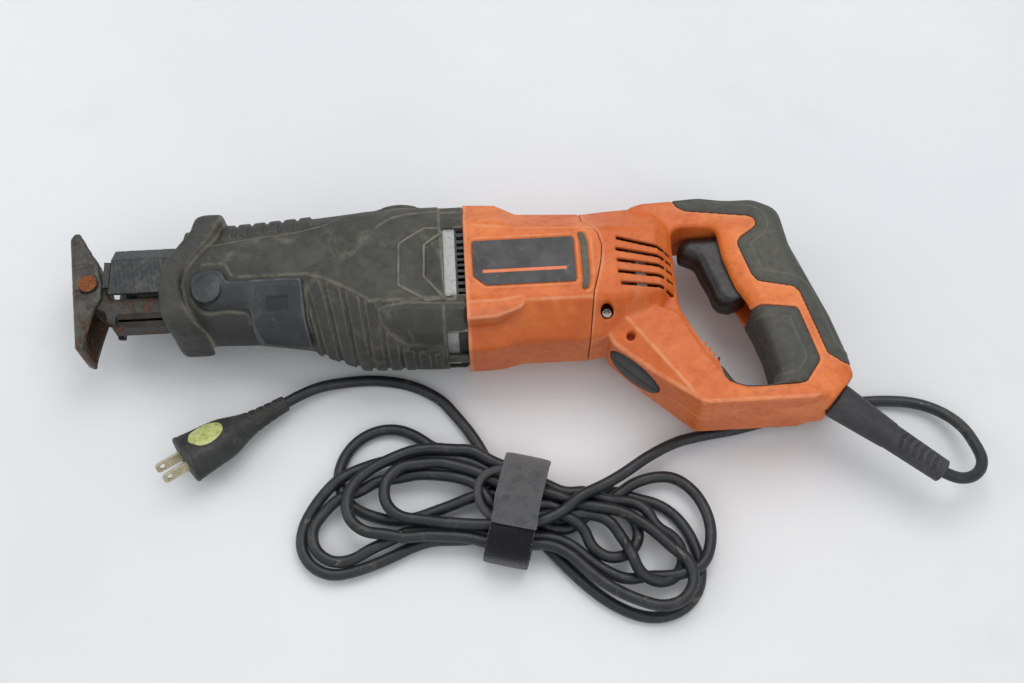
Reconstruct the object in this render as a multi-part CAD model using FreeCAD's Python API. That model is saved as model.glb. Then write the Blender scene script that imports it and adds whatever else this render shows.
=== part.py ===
# Corded reciprocating saw, lying on its side. Millimetres, +Z up.
# +X runs from the blade shoe to the rear handle, +Y is the tool's upper side as it is held.
# The tool's own mid-plane is the horizontal plane z = ZM.
import FreeCAD, Part
import math
import os

V = FreeCAD.Vector
os.makedirs("parts", exist_ok=True)

# ---------------------------------------------------------------- driving dimensions
ZM = 38.0            # height of the mid-plane: half of the 76 mm body width
MOTOR_Y = 18.0       # armature axis
PLUNGER_Y = 33.0     # reciprocating shaft axis
STROKE = 28.6        # 1-1/8 inch stroke
GEAR_X = -62.0       # crank gear centre
GEAR_R = 30.0        # crank gear outer pitch radius
GEAR_TEETH = 40
PINION_TEETH = 8
PINION_R = 6.0
BOOT_T = 3.0         # rubber boot thickness
CASE_T = 4.5         # gear case wall
WALL = 3.0           # moulded shell wall
CORD_D = 7.0
CORD_Z = 3.6         # cord centre height where it lies on the table
PIVOT = (-220.5, 27.7)       # shoe hinge
POST_Y = (-3.0, 18.0)
POST_Z = (25.0, 51.0)
SHOE_Z = (22.0, 54.0)
TRIGGER_TRAVEL = 7.0
RELIEF_BASE = (225.8, -67.8, 38.0)
RELIEF_TIP = (283.5, -112.9, 30.0)
PLUG_END = (-107.0, -38.4, 8.6)
PLUG_DIR = (-0.843, -0.528, 0.100)
HANDLE_SCREWS_FAR = [(103.0, -28.0), (106.0, 50.0), (150.0, 55.5), (197.0, 50.0), (221.0, -33.0), (150.0, -66.5), (200.0, -69.0)]
HANDLE_SCREW_NEAR = (91.0, -14.0)

NODES = {}


def keep(name, shape):
    if shape.ShapeType == "Compound" and len(shape.Solids) == 1:
        shape = shape.Solids[0]
    shape = shape.removeSplitter() if shape.ShapeType != "Compound" else shape
    NODES[name] = shape
    return shape


# ---------------------------------------------------------------- helpers
def rounded(pts, r0=0.0):
    """Corner list of a polygon whose corners are rounded: (start, end, middle of arc or None)."""
    out = []
    n = len(pts)
    for i in range(n):
        p, a, b = pts[i], pts[i - 1], pts[(i + 1) % n]
        r = p[2] if len(p) > 2 else r0
        ux, uy = a[0] - p[0], a[1] - p[1]
        vx, vy = b[0] - p[0], b[1] - p[1]
        la, lb = math.hypot(ux, uy), math.hypot(vx, vy)
        ux, uy, vx, vy = ux / la, uy / la, vx / lb, vy / lb
        ang = math.acos(max(-1.0, min(1.0, ux * vx + uy * vy)))
        if r <= 0 or ang > math.pi - 0.005:
            out.append(((p[0], p[1]), (p[0], p[1]), None))
            continue
        t = min(r / math.tan(ang / 2), 0.49 * la, 0.49 * lb)
        r = t * math.tan(ang / 2)
        bx, by = ux + vx, uy + vy
        lb2 = math.hypot(bx, by)
        bx, by = bx / lb2, by / lb2
        c = (p[0] + bx * r / math.sin(ang / 2), p[1] + by * r / math.sin(ang / 2))
        out.append(((p[0] + ux * t, p[1] + uy * t), (p[0] + vx * t, p[1] + vy * t), (c[0] - bx * r, c[1] - by * r)))
    return out


def place(a, b, level, plane):
    if plane == "xy":
        return V(a, b, level)
    if plane == "yz":
        return V(level, a, b)
    return V(a, level, b)


def rwire(pts, level=0.0, r=0.0, plane="xy"):
    cs = rounded(pts, r)
    edges = []
    n = len(cs)
    for i in range(n):
        s, e, m = cs[i]
        if m is not None:
            edges.append(Part.Arc(place(*s, level, plane), place(*m, level, plane), place(*e, level, plane)).toShape())
        nx = cs[(i + 1) % n][0]
        if math.hypot(nx[0] - e[0], nx[1] - e[1]) > 1e-6:
            edges.append(Part.LineSegment(place(*e, level, plane), place(*nx, level, plane)).toShape())
    return Part.Wire(edges)


def prism(pts, lo, hi, r=0.0, plane="xy"):
    f = Part.Face(rwire(pts, lo, r, plane))
    d = {"xy": V(0, 0, hi - lo), "yz": V(hi - lo, 0, 0), "xz": V(0, hi - lo, 0)}[plane]
    return f.extrude(d)


def box(x0, y0, z0, x1, y1, z1):
    return Part.makeBox(x1 - x0, y1 - y0, z1 - z0, V(x0, y0, z0))


def cyl(p, d, r, h):
    return Part.makeCylinder(r, h, V(*p), V(*d))


def cyl_x(x0, x1, y, z, r):
    return Part.makeCylinder(r, x1 - x0, V(x0, y, z), V(1, 0, 0))


def cyl_z(x, y, z0, z1, r):
    return Part.makeCylinder(r, z1 - z0, V(x, y, z0), V(0, 0, 1))


def fuse(items):
    s = items[0]
    return s.fuse(items[1:]) if len(items) > 1 else s


def soften(shape, r, test, what):
    """Rounds the edges that test picks; a smaller radius, then a chamfer, if the kernel can't."""
    for rr in (r, r * 0.8, r * 0.6, r * 0.4):
        edges = [e for e in shape.Edges if test(e)]
        try:
            s = shape.makeFillet(rr, edges)
            if s.isValid() and s.Volume > 0:
                if rr != r:
                    print("softened", what, "with", round(rr, 2))
                return s
        except Exception:
            pass
    try:
        s = shape.makeChamfer(r * 0.5, [e for e in shape.Edges if test(e)])
        if s.isValid():
            print("chamfered", what)
            return s
    except Exception:
        pass
    print("left square:", what)
    return shape


def at_level(zs, tol=1e-3):
    def test(e):
        b = e.BoundBox
        return any(abs(b.ZMin - z) < tol and abs(b.ZMax - z) < tol for z in zs)
    return test


def section(x, y0, y1, hz, f0, f1, d=0.0):
    """Rounded eight-sided cross-section of the body at x; d moves it inward."""
    y0, y1, hz, f0, f1 = y0 + d, y1 - d, hz - d, f0 + d * 0.4, f1 - d * 0.4
    a = 0.45 * hz
    pts = [
        (y1, ZM - a, 13), (y1, ZM + a, 13), (f1, ZM + hz, 11), (f0, ZM + hz, 11),
        (y0, ZM + a, 13), (y0, ZM - a, 13), (f0, ZM - hz, 11), (f1, ZM - hz, 11),
    ]
    return rwire(pts, x, plane="yz")


def loft(stations, d=0.0, x0=None, x1=None):
    """Solid through the stations' sections; x0 and x1 replace the first and last x."""
    st = [list(s) for s in stations]
    if x0 is not None:
        st[0][0] = x0
    if x1 is not None:
        st[-1][0] = x1
    return Part.makeLoft([section(*s, d) for s in st], True, True)


def lerp_station(stations, x):
    for a, b in zip(stations, stations[1:]):
        if a[0] <= x <= b[0]:
            t = (x - a[0]) / (b[0] - a[0])
            return tuple(a[i] + t * (b[i] - a[i]) for i in range(6))
    return stations[0] if x < stations[0][0] else stations[-1]


def ring_x(x0, x1, y, z, ro, ri):
    return cyl_x(x0, x1, y, z, ro).cut(cyl_x(x0 - 1, x1 + 1, y, z, ri))


# ---------------------------------------------------------------- body stations: x, bottom y, top y, half width, side flat low y, side flat high y
BOOT = [(-160.0, -8.0, 66.0, 24.0, 14.0, 44.0), (-120.0, -9.0, 67.5, 28.0, 14.0, 45.0), (-88.0, -13.5, 68.5, 32.5, 12.0, 46.5),
        (-55.0, -26.5, 70.0, 37.0, -2.0, 50.0), (8.3, -28.5, 70.0, 38.0, -4.0, 44.0)]
MOTOR = [(8.3, -30.0, 69.5, 38.0, -6.0, 44.0), (28.0, -29.5, 68.3, 38.0, -6.0, 44.0), (41.0, -26.5, 61.0, 38.0, -8.0, 40.0), (82.0, -26.5, 58.8, 38.0, -8.0, 38.0)]
FRONT = [(82.0, -26.5, 58.8, 38.0, -8.0, 38.0), (98.0, -24.0, 60.6, 36.0, -8.0, 38.0), (124.0, -16.0, 63.0, 31.5, -2.0, 38.0), (134.0, -10.0, 63.6, 21.0, 2.0, 42.0)]

boot_outer = loft(BOOT)
boot_inner = loft(BOOT, BOOT_T, x0=-161.0, x1=9.3)
case_outer = loft(BOOT, BOOT_T)

# ================================================================= shoe
shoe_front = [(-233.0, 64.0), (-234.5, 60.0), (-231.2, 30.6), (-226.0, -12.0), (-222.5, -16.0), (-213.0, -25.0), (-207.5, -29.0)]
t = 2.6
inner_line = []
for i, p in enumerate(shoe_front):
    a = shoe_front[max(0, i - 1)]
    b = shoe_front[min(len(shoe_front) - 1, i + 1)]
    dx, dy = b[0] - a[0], b[1] - a[1]
    L = math.hypot(dx, dy)
    inner_line.append((p[0] - dy / L * t, p[1] + dx / L * t))
plate = prism(shoe_front + inner_line[::-1], SHOE_Z[0], SHOE_Z[1])
cheek_pts = shoe_front + [(-205.5, -26.5), (-214.5, -18.0, 4), (-217.5, -8.0, 6), (-217.0, 2.0, 8), (-211.5, 12.0, 6), (-209.0, 22.0, 6), (-209.5, 34.0, 6), (-218.5, 46.0, 8), (-226.0, 60.0, 3)]
cheek_lo = prism(cheek_pts, SHOE_Z[0], SHOE_Z[0] + 2.4)
cheek_hi = prism(cheek_pts, SHOE_Z[1] - 2.4, SHOE_Z[1])
shoe = fuse([plate, cheek_lo, cheek_hi])
# slot for the saw blade through the front plate, open towards the lower end
shoe = shoe.cut(prism([(-250.0, 4.0, 0), (-222.0, 4.0, 0), (-222.0, 50.0, 0), (-250.0, 50.0, 0)], ZM - 5.0, ZM + 5.0))
shoe = shoe.cut(box(-240, -34, ZM - 3.0, -200, 4.1, ZM + 3.0).common(box(-240, -14, 0, -200, 4.1, 80)))
for z in (SHOE_Z[0] - 1, SHOE_Z[1] - 3.4):
    shoe = shoe.cut(cyl_z(PIVOT[0], PIVOT[1], z, z + 4.4, 4.05))
keep("shoe", shoe)

# two stub rivets join the shoe to the post's ears, so that the blade runs between them
rivets = []
for s in (1, -1):
    z_out = ZM + s * 17.4
    a = cyl_z(PIVOT[0], PIVOT[1], min(ZM + s * 11.0, ZM + s * 16.3), max(ZM + s * 11.0, ZM + s * 16.3), 4.0)
    head = cyl_z(PIVOT[0], PIVOT[1], min(ZM + s * 16.3, z_out), max(ZM + s * 16.3, z_out), 5.6)
    rivets.append(a.fuse(head))
keep("shoe_rivets", Part.makeCompound([r.removeSplitter() for r in rivets]))

# ================================================================= shoe post, sliding in the gear case's nose
ears = prism([(-227.3, 24.0, 5), (-227.3, 34.5, 6.7), (-213.7, 34.5, 6.7), (-208.0, 18.0, 3), (-203.0, 18.0), (-203.0, -3.0), (-208.0, -3.0, 2), (-209.5, 8.5, 5), (-219.0, 15.0, 4)], POST_Z[0], POST_Z[1])
ears = ears.cut(box(-240, -40, POST_Z[0] + 2.0, -203.5, 60, POST_Z[1] - 2.0))
bar = prism([(POST_Y[0], POST_Z[0] + 7.0), (POST_Y[0] + 9.0, POST_Z[0]), (POST_Y[1], POST_Z[0]), (POST_Y[1], POST_Z[1]), (POST_Y[0] + 9.0, POST_Z[1]), (POST_Y[0], POST_Z[1] - 7.0)], -207.0, -104.0, plane="yz")
bar = bar.cut(box(-208, 1.0, POST_Z[0] + 3.4, -103, 30, POST_Z[1] - 3.4))
post = ears.fuse(bar)
for s in (1, -1):
    z0 = POST_Z[0] - 1 if s < 0 else POST_Z[1] - 3.4
    post = post.cut(cyl_z(PIVOT[0], PIVOT[1], z0, z0 + 4.4, 4.0))
# detent notches along the lower wall
for i in range(5):
    post = post.cut(box(-142.0 + i * 8.0, POST_Y[0] - 1, ZM - 5, -138.5 + i * 8.0, POST_Y[0] + 2.0, ZM + 5))
keep("shoe_post", post)

# ================================================================= blade guard: a folded steel hood over the blade clamp
def hood_profile(d):
    return [(19.0, ZM + 18.5 - d), (42.0, ZM + 18.5 - d, 3), (53.0 - d, ZM + 10.0, 3), (53.0 - d, ZM - 10.0, 3), (42.0, ZM - 18.5 + d, 3), (19.0, ZM - 18.5 + d)]


hood = prism(hood_profile(0.0), -207.0, -158.0, plane="yz").cut(prism([(18.0, ZM + 16.5)] + [(41.0, ZM + 16.5, 3), (51.0, ZM + 9.0, 3), (51.0, ZM - 9.0, 3), (41.0, ZM - 16.5, 3)] + [(18.0, ZM - 16.5)], -208.0, -157.0, plane="yz"))
lip = []
for s in (1, -1):
    lip.append(box(-210.5, 23.0, min(ZM + s * 16.5, ZM + s * 19.5), -207.0, 40.0, max(ZM + s * 16.5, ZM + s * 19.5)))
hood = fuse([hood] + lip)
keep("blade_guard", hood)

# ================================================================= gear case (die-cast) and its cover
cav_st = [(-97.0,) + lerp_station(BOOT, -97.0)[1:], (-88.0,) + lerp_station(BOOT, -88.0)[1:], (-55.0,) + lerp_station(BOOT, -55.0)[1:], (-12.0,) + lerp_station(BOOT, -12.0)[1:]]
cavity = loft(cav_st, BOOT_T + CASE_T)
case = case_outer.common(box(-158.0, -60, -10, 2.8, 100, 100))
case = case.cut(cavity)
# bearing boss of the crank gear, bearing wall of the armature
case = case.fuse(cyl_z(GEAR_X, MOTOR_Y, 7.0, 18.5, 19.0).common(case_outer))
case = case.cut(cyl_z(GEAR_X, MOTOR_Y, 9.0, 30.0, 14.0))
case = case.cut(cyl_z(GEAR_X, MOTOR_Y, 20.6, 36.0, 32.2))
case = case.cut(box(GEAR_X - 25.5, -10.5, 33.0, GEAR_X + 25.5, 46.5, 46.0))
case = case.cut(cyl_x(-13.0, 4.0, MOTOR_Y, ZM, 13.0))
# plunger bore with its bushings, post channel
case = case.cut(cyl_x(-160.0, -96.0, PLUNGER_Y, ZM, 12.5))
case = case.cut(box(-160.0, POST_Y[0] - 0.3, POST_Z[0] - 0.3, -96.0, POST_Y[1] + 0.3, POST_Z[1] + 0.3))
# recess of the selector dial
case = case.cut(cyl((-31.0, 63.0, ZM), (0, 1, 0), 20.0, 12.0))
case = case.cut(cyl((-31.0, 56.0, ZM), (0, 1, 0), 4.05, 12.0))
# lugs: windows between the rear lugs show the casting
cover_zone = box(-95.0, -60, 60.0, -14.0, 100, 100)
cover = case.common(cover_zone)
case = case.cut(cover_zone)
case_screw_xy = [(-88.0, 43.0), (-88.0, 10.0), (-20.0, 40.0), (-20.0, 0.0), (-55.0, 44.0), (-50.0, -3.0)]
gc_screws = []
for (sx, sy) in case_screw_xy:
    st = lerp_station(BOOT, sx)
    ztop = ZM + st[3] - BOOT_T
    # surface height where the screw stands
    if sy > st[5] - 2 or sy < st[4] + 2:
        ztop -= 4.0
    head = cyl_z(sx, sy, ztop - 4.6, ztop - 0.6, 4.0)
    shank = cyl_z(sx, sy, 52.0, ztop - 4.6, 2.0)
    gc_screws.append(head.fuse(shank).removeSplitter())
    well = cyl_z(sx, sy, ztop - 4.6, ztop + 8.0, 4.0)
    cover = cover.cut(well).cut(cyl_z(sx, sy, 50.0, 90.0, 2.0))
    case = case.cut(cyl_z(sx, sy, 52.0, 90.0, 2.0)).cut(well)
keep("gear_case_screws", Part.makeCompound(gc_screws))

# ================================================================= vent baffle between gear case and motor housing
baffle = loft([(2.8,) + BOOT[4][1:], (8.3,) + BOOT[4][1:]], BOOT_T + 0.25)
baffle = baffle.cut(cyl_x(0, 10, MOTOR_Y, ZM, 13.5))
for i in range(-8, 9):
    ang = i * 10.0
    for side in (1, -1):
        slot = box(1.8, -1.1, 26.0, 9.3, 1.1, 60.0)
        slot.rotate(V(0, 0, 0), V(1, 0, 0), ang * 0.62)
        if side < 0:
            slot.rotate(V(0, 0, 0), V(1, 0, 0), 180)
        slot.translate(V(0, MOTOR_Y + 2, ZM))
        baffle = baffle.cut(slot.common(box(4.0, -60, -10, 9.3, 100, 90)))
# ================================================================= long screws: motor housing to gear case
frame_screw_yz = [(57.0, ZM + 20.0), (57.0, ZM - 20.0), (-17.0, ZM + 20.0), (-17.0, ZM - 20.0)]
fs = []
for (sy, sz) in frame_screw_yz:
    fs.append(cyl_x(-22.0, 16.0, sy, sz, 2.5).fuse(cyl_x(12.0, 16.0, sy, sz, 4.5)).removeSplitter())
fs_shape = Part.makeCompound(fs)
keep("housing_screws", fs_shape)
for s in fs:
    case = case.cut(s)
    cover = cover.cut(s)
    baffle = baffle.cut(s)
keep("gear_case", case)
keep("gear_case_cover", cover)
keep("vent_baffle", baffle)

# ================================================================= rubber boot over the gear case, with its nose flange
boot = boot_outer.cut(boot_inner)
flange_out = [(-150.0, 70.5, 4), (-160.0, 67.0, 4), (-165.0, 55.0, 6), (-176.0, 39.5, 6), (-178.4, 31.0, 10), (-177.0, 18.0, 12), (-172.0, 4.0, 10), (-165.0, -6.5, 5), (-158.0, -9.5, 5), (-150.0, -9.5, 3)]
flange_in = [(-146.0, -8.0, 3), (-155.0, 2.0, 6), (-161.0, 12.0, 6), (-163.0, 22.0, 8), (-160.0, 34.0, 8), (-150.0, 47.0, 6), (-143.0, 58.0, 5), (-141.0, 70.0, 2)]
flange = prism(flange_out + flange_in, ZM - 29.0, ZM + 29.0)
flange = soften(flange, 2.4, at_level([ZM - 29.0, ZM + 29.0]), "boot flange")
# front part of the boot between the flange and the first full section
neck = loft([(-164.0, -8.0, 66.0, 24.0, 14.0, 44.0), (-159.9, -8.0, 66.0, 24.0, 14.0, 44.0)])
boot = boot.fuse(flange).fuse(neck)
boot = boot.cut(prism([(POST_Y[0] - 1.5, 15.0, 6), (58.0, 15.0, 8), (58.0, 61.0, 8), (POST_Y[0] - 1.5, 61.0, 6)], -185.0, -158.0, plane="yz"))
boot = boot.cut(case_outer.common(box(-158.1, -60, -10, 3.0, 100, 100)))
boot = boot.cut(baffle)
# windows between the rear lugs
for z0, z1 in ((50.0, 90.0), (-14.0, 26.0)):
    boot = boot.cut(box(-4.0, -1.5, z0, 9.0, 43.0, z1))
for s in (1, -1):
    boot = boot.cut(box(-4.0, -40.0, min(ZM + s * 4.0, ZM + s * 27.0), 9.0, -16.0, max(ZM + s * 4.0, ZM + s * 27.0)))
# opening for the selector dial
boot = boot.cut(cyl((-31.0, 60.0, ZM), (0, 1, 0), 20.3, 15.0))
for s in fs:
    boot = boot.cut(s)
for g in gc_screws:
    boot = boot.cut(g)

# ================================================================= shoe release lever on the near side, with its pin
LEVER_PIVOT = (-146.0, 14.0)
lever_pts = [(-156.3, 14.0, 9.5), (-151.0, 24.5, 9.5), (-134.0, 20.0, 6), (-119.5, 18.6, 6), (-89.0, 11.5, 5), (-86.5, -6.0, 8), (-83.5, -22.0, 4), (-94.0, -21.5, 4), (-113.0, -16.5, 6), (-120.0, -9.0, 5), (-121.0, 2.0, 4), (-134.0, 3.8, 6), (-150.0, 3.2, 9)]
gap_loft = loft([(-165.0,) + BOOT[0][1:]] + BOOT[1:], -0.4)
lever = prism(lever_pts, 42.0, 73.5)
lever = soften(lever, 3.0, at_level([73.5]), "release lever")
lever = lever.cut(gap_loft)
lever = max(lever.Solids, key=lambda s: s.Volume)
top_shape = loft([(-165.0,) + BOOT[0][1:]] + BOOT[1:], -4.6)
lever = lever.common(top_shape.fuse(box(-125.0, -40.0, 40.0, -70.0, 5.0, 67.0)))
lever = max(lever.Solids, key=lambda s: s.Volume)
lever = lever.cut(cyl_z(LEVER_PIVOT[0], LEVER_PIVOT[1], 50.0, 90.0, 3.05))
lever = lever.cut(cyl_z(LEVER_PIVOT[0], LEVER_PIVOT[1], 50.0, 65.5, 16.0))
lever = max(lever.Solids, key=lambda s: s.Volume)
keep("release_lever", lever)
pin_top = ZM + lerp_station(BOOT, LEVER_PIVOT[0])[3] + 3.6
pin = cyl_z(LEVER_PIVOT[0], LEVER_PIVOT[1], 56.0, pin_top, 3.0)
keep("lever_pin", pin)
boot = boot.cut(cyl_z(LEVER_PIVOT[0], LEVER_PIVOT[1], 50.0, 90.0, 3.0))
NODES["gear_case"] = NODES["gear_case"].cut(cyl_z(LEVER_PIVOT[0], LEVER_PIVOT[1], 56.0, 90.0, 3.0))
keep("nose_boot", boot)

# ================================================================= orbital-action dial on the top, with its coloured pointer
dial = cyl((-31.0, 63.5, ZM), (0, 1, 0), 19.6, 10.0)
dial = soften(dial, 1.6, lambda e: abs(e.BoundBox.YMin - 73.5) < 1e-3 and abs(e.BoundBox.YMax - 73.5) < 1e-3, "dial")
dial = dial.cut(box(-43.0, 71.0, ZM + 4.0, -19.0, 75, ZM + 16.0)).cut(box(-43.0, 71.0, ZM - 16.0, -19.0, 75, ZM - 4.0))
dial = dial.fuse(cyl((-31.0, 56.5, ZM), (0, 1, 0), 4.0, 7.2))
pointer = box(-22.0, 70.8, ZM - 2.6, -10.9, 74.0, ZM + 2.6).fuse(box(-13.5, 66.5, ZM - 4.0, -10.9, 74.0, ZM + 4.0))
pointer = pointer.common(cyl((-31.0, 60.0, ZM), (0, 1, 0), 19.9, 15.0))
dial = dial.cut(pointer)
keep("orbital_dial", dial)
keep("orbital_pointer", pointer)

# ================================================================= motor housing
mh = loft(MOTOR).cut(loft(MOTOR, WALL, x0=7.3, x1=83.0))
webs = []
for x0, x1 in ((26.0, 29.0), (70.0, 73.0)):
    slab = loft(MOTOR, WALL - 0.5).common(box(x0, -60, -10, x1, 100, 100))
    webs.append(slab.cut(cyl_x(x0 - 1, x1 + 1, MOTOR_Y, ZM, 34.0)))
mh = fuse([mh] + webs)
lug_blocks = []
for (sy, sz) in frame_screw_yz:
    lug_blocks.append(cyl_x(8.3, 13.0, sy, sz, 6.0).common(loft(MOTOR, 0.5)))
mh = fuse([mh] + lug_blocks)
for s in fs:
    mh = mh.cut(s)
tongue = prism([(8.3, -6.5), (27.0, -6.5), (43.5, -3.5), (43.5, -11.5), (26.0, -17.5), (8.3, -19.5)], ZM - 37.3, ZM + 37.3)
tongue = tongue.common(loft(MOTOR, -1.4).common(box(8.3, -60, 0, 60, 100, 80)))
mh = mh.fuse(tongue.cut(loft(MOTOR, 1.0)))
# recesses for the nameplates on both sides
plate_pts = [(13.2, 32.0, 2), (73.8, 32.0, 2), (73.8, 2.2, 2), (20.5, 2.2, 2), (13.2, 9.0, 2)]
for z0, z1 in ((75.4, 90.0), (-10.0, 0.6)):
    mh = mh.cut(prism(plate_pts, z0, z1))
plate_hi = prism(plate_pts, 75.4, 76.0)
plate_lo = prism(plate_pts, 0.0, 0.6)
# grey side strips at the rear edge
strip_pts = [(76.6, 35.5, 1), (80.4, 33.8, 1), (81.8, 28.5, 1), (81.8, 5.5, 1), (80.4, -2.0, 1), (76.6, -4.0, 1), (78.2, 4.0, 4), (78.2, 27.0, 4)]
strips = []
for z0, z1 in ((75.2, 76.8), (-1.0, 0.8)):
    st = prism(strip_pts, max(z0, 0.0), min(z1, 76.0))
    strips.append(st)
    mh = mh.cut(st)
keep("motor_housing", mh)
keep("nameplates", Part.makeCompound([plate_hi, plate_lo]))
keep("side_strips", Part.makeCompound(strips))

# ================================================================= rear handle: two clamshell halves
frame_pts = [(112.0, 61.0), (120.0, 63.2), (143.5, 64.0), (156.0, 64.8), (190.0, 64.8, 10), (205.5, 57.0, 9), (206.8, 44.0, 12), (208.5, 32.0, 25), (226.0, -18.0, 40), (232.7, -44.0, 12), (234.75, -57.0, 4), (219.0, -73.6, 4),
             (206.0, -74.0, 4), (143.0, -74.0, 9), (116.0, -51.5, 14), (94.0, -30.5, 6), (90.0, -20.0, 3), (112.0, 0.0, 10)]
open_pts = [(135.5, 44.0, 7), (135.5, -9.0, 28), (148.0, -34.0, 30), (163.5, -58.5, 8), (171.0, -61.0, 6), (185.5, -61.0, 6), (189.5, -54.0, 7), (187.0, -36.0, 25), (182.0, -19.0, 25), (176.5, -5.0, 5), (171.5, 4.0, 6), (166.0, 24.0, 10), (164.0, 44.0, 4)]
base_pts = [(92.0, -27.0, 4), (98.0, -8.0, 6), (118.0, -8.0, 8), (133.5, -14.0, 10), (145.0, -38.0, 20), (159.5, -61.5, 8), (168.0, -65.0, 5), (204.0, -65.0, 4), (215.0, -71.0, 3), (206.0, -74.0, 3), (143.0, -74.0, 9), (116.0, -51.5, 14), (95.0, -31.5, 6)]


def frame_face(d, z):
    """Outline with the hand opening, moved inward by d."""
    outer = Part.Face(rwire(frame_pts, z))
    hole = Part.Face(rwire(open_pts, z))
    if d:
        outer = outer.makeOffset2D(-d)
        hole = hole.makeOffset2D(d)
    return outer.cut(hole)


grip = frame_face(0, ZM - 20.0).extrude(V(0, 0, 40.0))
grip = grip.Solids[0] if grip.Solids else grip
grip = soften(grip, 6.0, at_level([ZM - 20.0, ZM + 20.0]), "grip frame")
grip_core = frame_face(2.0, ZM - 18.0).extrude(V(0, 0, 36.0))
grip_core = soften(grip_core.Solids[0], 3.3, at_level([ZM - 18.0, ZM + 18.0]), "grip core")
grip_void = frame_face(WALL + 2.0, ZM - 15.0).extrude(V(0, 0, 30.0)).Solids[0]
base = prism(base_pts, ZM - 24.0, ZM + 24.0)
base = soften(base, 2.8, at_level([ZM - 24.0, ZM + 24.0]), "handle base")
base_void = Part.Face(rwire(base_pts, ZM - 21.0)).makeOffset2D(-WALL - 1.0).extrude(V(0, 0, 42.0))
front_block = loft(FRONT)
fv = [list(s) for s in FRONT]
fv[0][0] = 81.0
fv[-1][0] = 131.0
front_void = loft([tuple(s) for s in fv], WALL)
solid_handle = fuse([grip, base, front_block])
skin = grip.cut(grip_core)
zone1 = [(136.0, 80.0), (138.5, 63.0, 3), (141.0, 58.5, 3), (146.0, 55.5, 4), (184.4, 50.2, 3), (188.2, 48.0, 2), (188.6, 42.9, 3), (177.7, 35.5, 4), (175.3, 31.5, 4), (181.4, 10.2, 5), (184.6, 5.2, 4), (205.7, 0.4, 3), (208.9, -3.5, 4), (219.6, -44.6, 4), (227.5, -50.5, 3), (245.0, -51.5), (245.0, 80.0)]
zone2 = [(166.0, -10.0), (177.4, -11.3, 3), (184.4, -10.6, 4), (205.6, -13.6, 3), (207.0, -17.5, 4), (214.6, -48.4, 6), (204.6, -61.6, 3), (200.0, -62.6, 3), (184.0, -62.8, 3), (170.0, -62.8, 3), (158.0, -58.0), (152.0, -30.0)]
rear_grip = skin.common(prism(zone1, 0, 76))
front_grip = skin.common(prism(zone2, 0, 76))
front_grip = front_grip.cut(base)
handle = solid_handle.cut(rear_grip).cut(front_grip)
handle = handle.cut(grip_void).cut(base_void).cut(front_void)

# trigger pocket in the grip's front wall
TR_Y = (-11.2, 43.7)
handle = handle.cut(box(158.0, TR_Y[0], ZM - 11.4, 190.0, TR_Y[1], ZM + 11.4))
rear_grip = rear_grip.cut(box(158.0, TR_Y[0], ZM - 11.4, 190.0, TR_Y[1], ZM + 11.4))
front_grip = front_grip.cut(box(158.0, TR_Y[0], ZM - 11.4, 190.0, TR_Y[1], ZM + 11.4))

# screws and their bosses
h_screws = []
for (sx, sy) in HANDLE_SCREWS_FAR + [HANDLE_SCREW_NEAR]:
    near = (sx, sy) == HANDLE_SCREW_NEAR
    boss = cyl_z(sx, sy, 0.0, 76.0, 5.0).common(solid_handle)
    boss = boss.common(grip_void.fuse([base_void, front_void]))
    handle = handle.fuse(boss)
    if near:
        shank = cyl_z(sx, sy, ZM - 14.0, 62.0, 2.0)
        head = cyl_z(sx, sy, 62.0, 64.4, 3.2)
        recess = cyl_z(sx, sy, 62.0, 90.0, 3.8)
    else:
        shank = cyl_z(sx, sy, 22.0, ZM + 12.0, 2.0)
        head = cyl_z(sx, sy, 20.4, 22.8, 3.2)
        recess = cyl_z(sx, sy, -5.0, 22.8, 3.8)
    scr = shank.fuse(head).removeSplitter()
    h_screws.append(scr)
    rear_grip = rear_grip.cut(recess.fuse(scr))
    front_grip = front_grip.cut(recess.fuse(scr))
    handle = handle.cut(recess).cut(scr)
    if near:
        handle = handle.cut(recess)
keep("handle_screws", Part.makeCompound(h_screws))

# vent slots through both side walls of the front block
vent_rows = [((100.5, 33.2), (130.5, 24.4)), ((99.1, 27.0), (131.5, 17.6)), ((100.0, 19.8), (131.8, 10.5)), ((99.8, 12.0), (132.2, 2.7)), ((99.6, 4.5), (132.2, -5.0))]
for (a, b) in vent_rows:
    L = math.hypot(b[0] - a[0], b[1] - a[1])
    ang = math.degrees(math.atan2(b[1] - a[1], b[0] - a[0]))
    s = box(0, -1.1, -5.0, L, 1.1, 90.0)
    s.rotate(V(0, 0, 0), V(0, 0, 1), ang)
    s.translate(V(a[0], a[1], 0))
    s = s.cut(box(80, -60, 20.0, 140, 80, 56.0))
    handle = handle.cut(s)

# bumper pad under the leg: an oval rubber foot let into the leg's lower face, across the parting line
PAD_T = V(0.700, -0.714, 0.0)      # along the leg
PAD_N = V(-0.714, -0.700, 0.0)     # out of the leg's lower face
PAD_C = V(106.6, -42.5, ZM)
pad = Part.makeCylinder(1.0, 9.0, V(0, 0, -5.5), V(0, 0, 1))
m = FreeCAD.Matrix()
m.scale(19.0, 13.0, 1.0)
pad = pad.transformGeometry(m)
pad = pad.transformGeometry(FreeCAD.Matrix(PAD_T.x, 0.0, PAD_N.x, PAD_C.x, PAD_T.y, 0.0, PAD_N.y, PAD_C.y, 0.0, -1.0, PAD_N.z, PAD_C.z, 0, 0, 0, 1))
pad = pad.cut(base_void).cut(grip_void).cut(front_void)
pad = max(pad.Solids, key=lambda q: q.Volume)
handle = handle.cut(pad)
keep("bumper_pad", pad)

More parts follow.
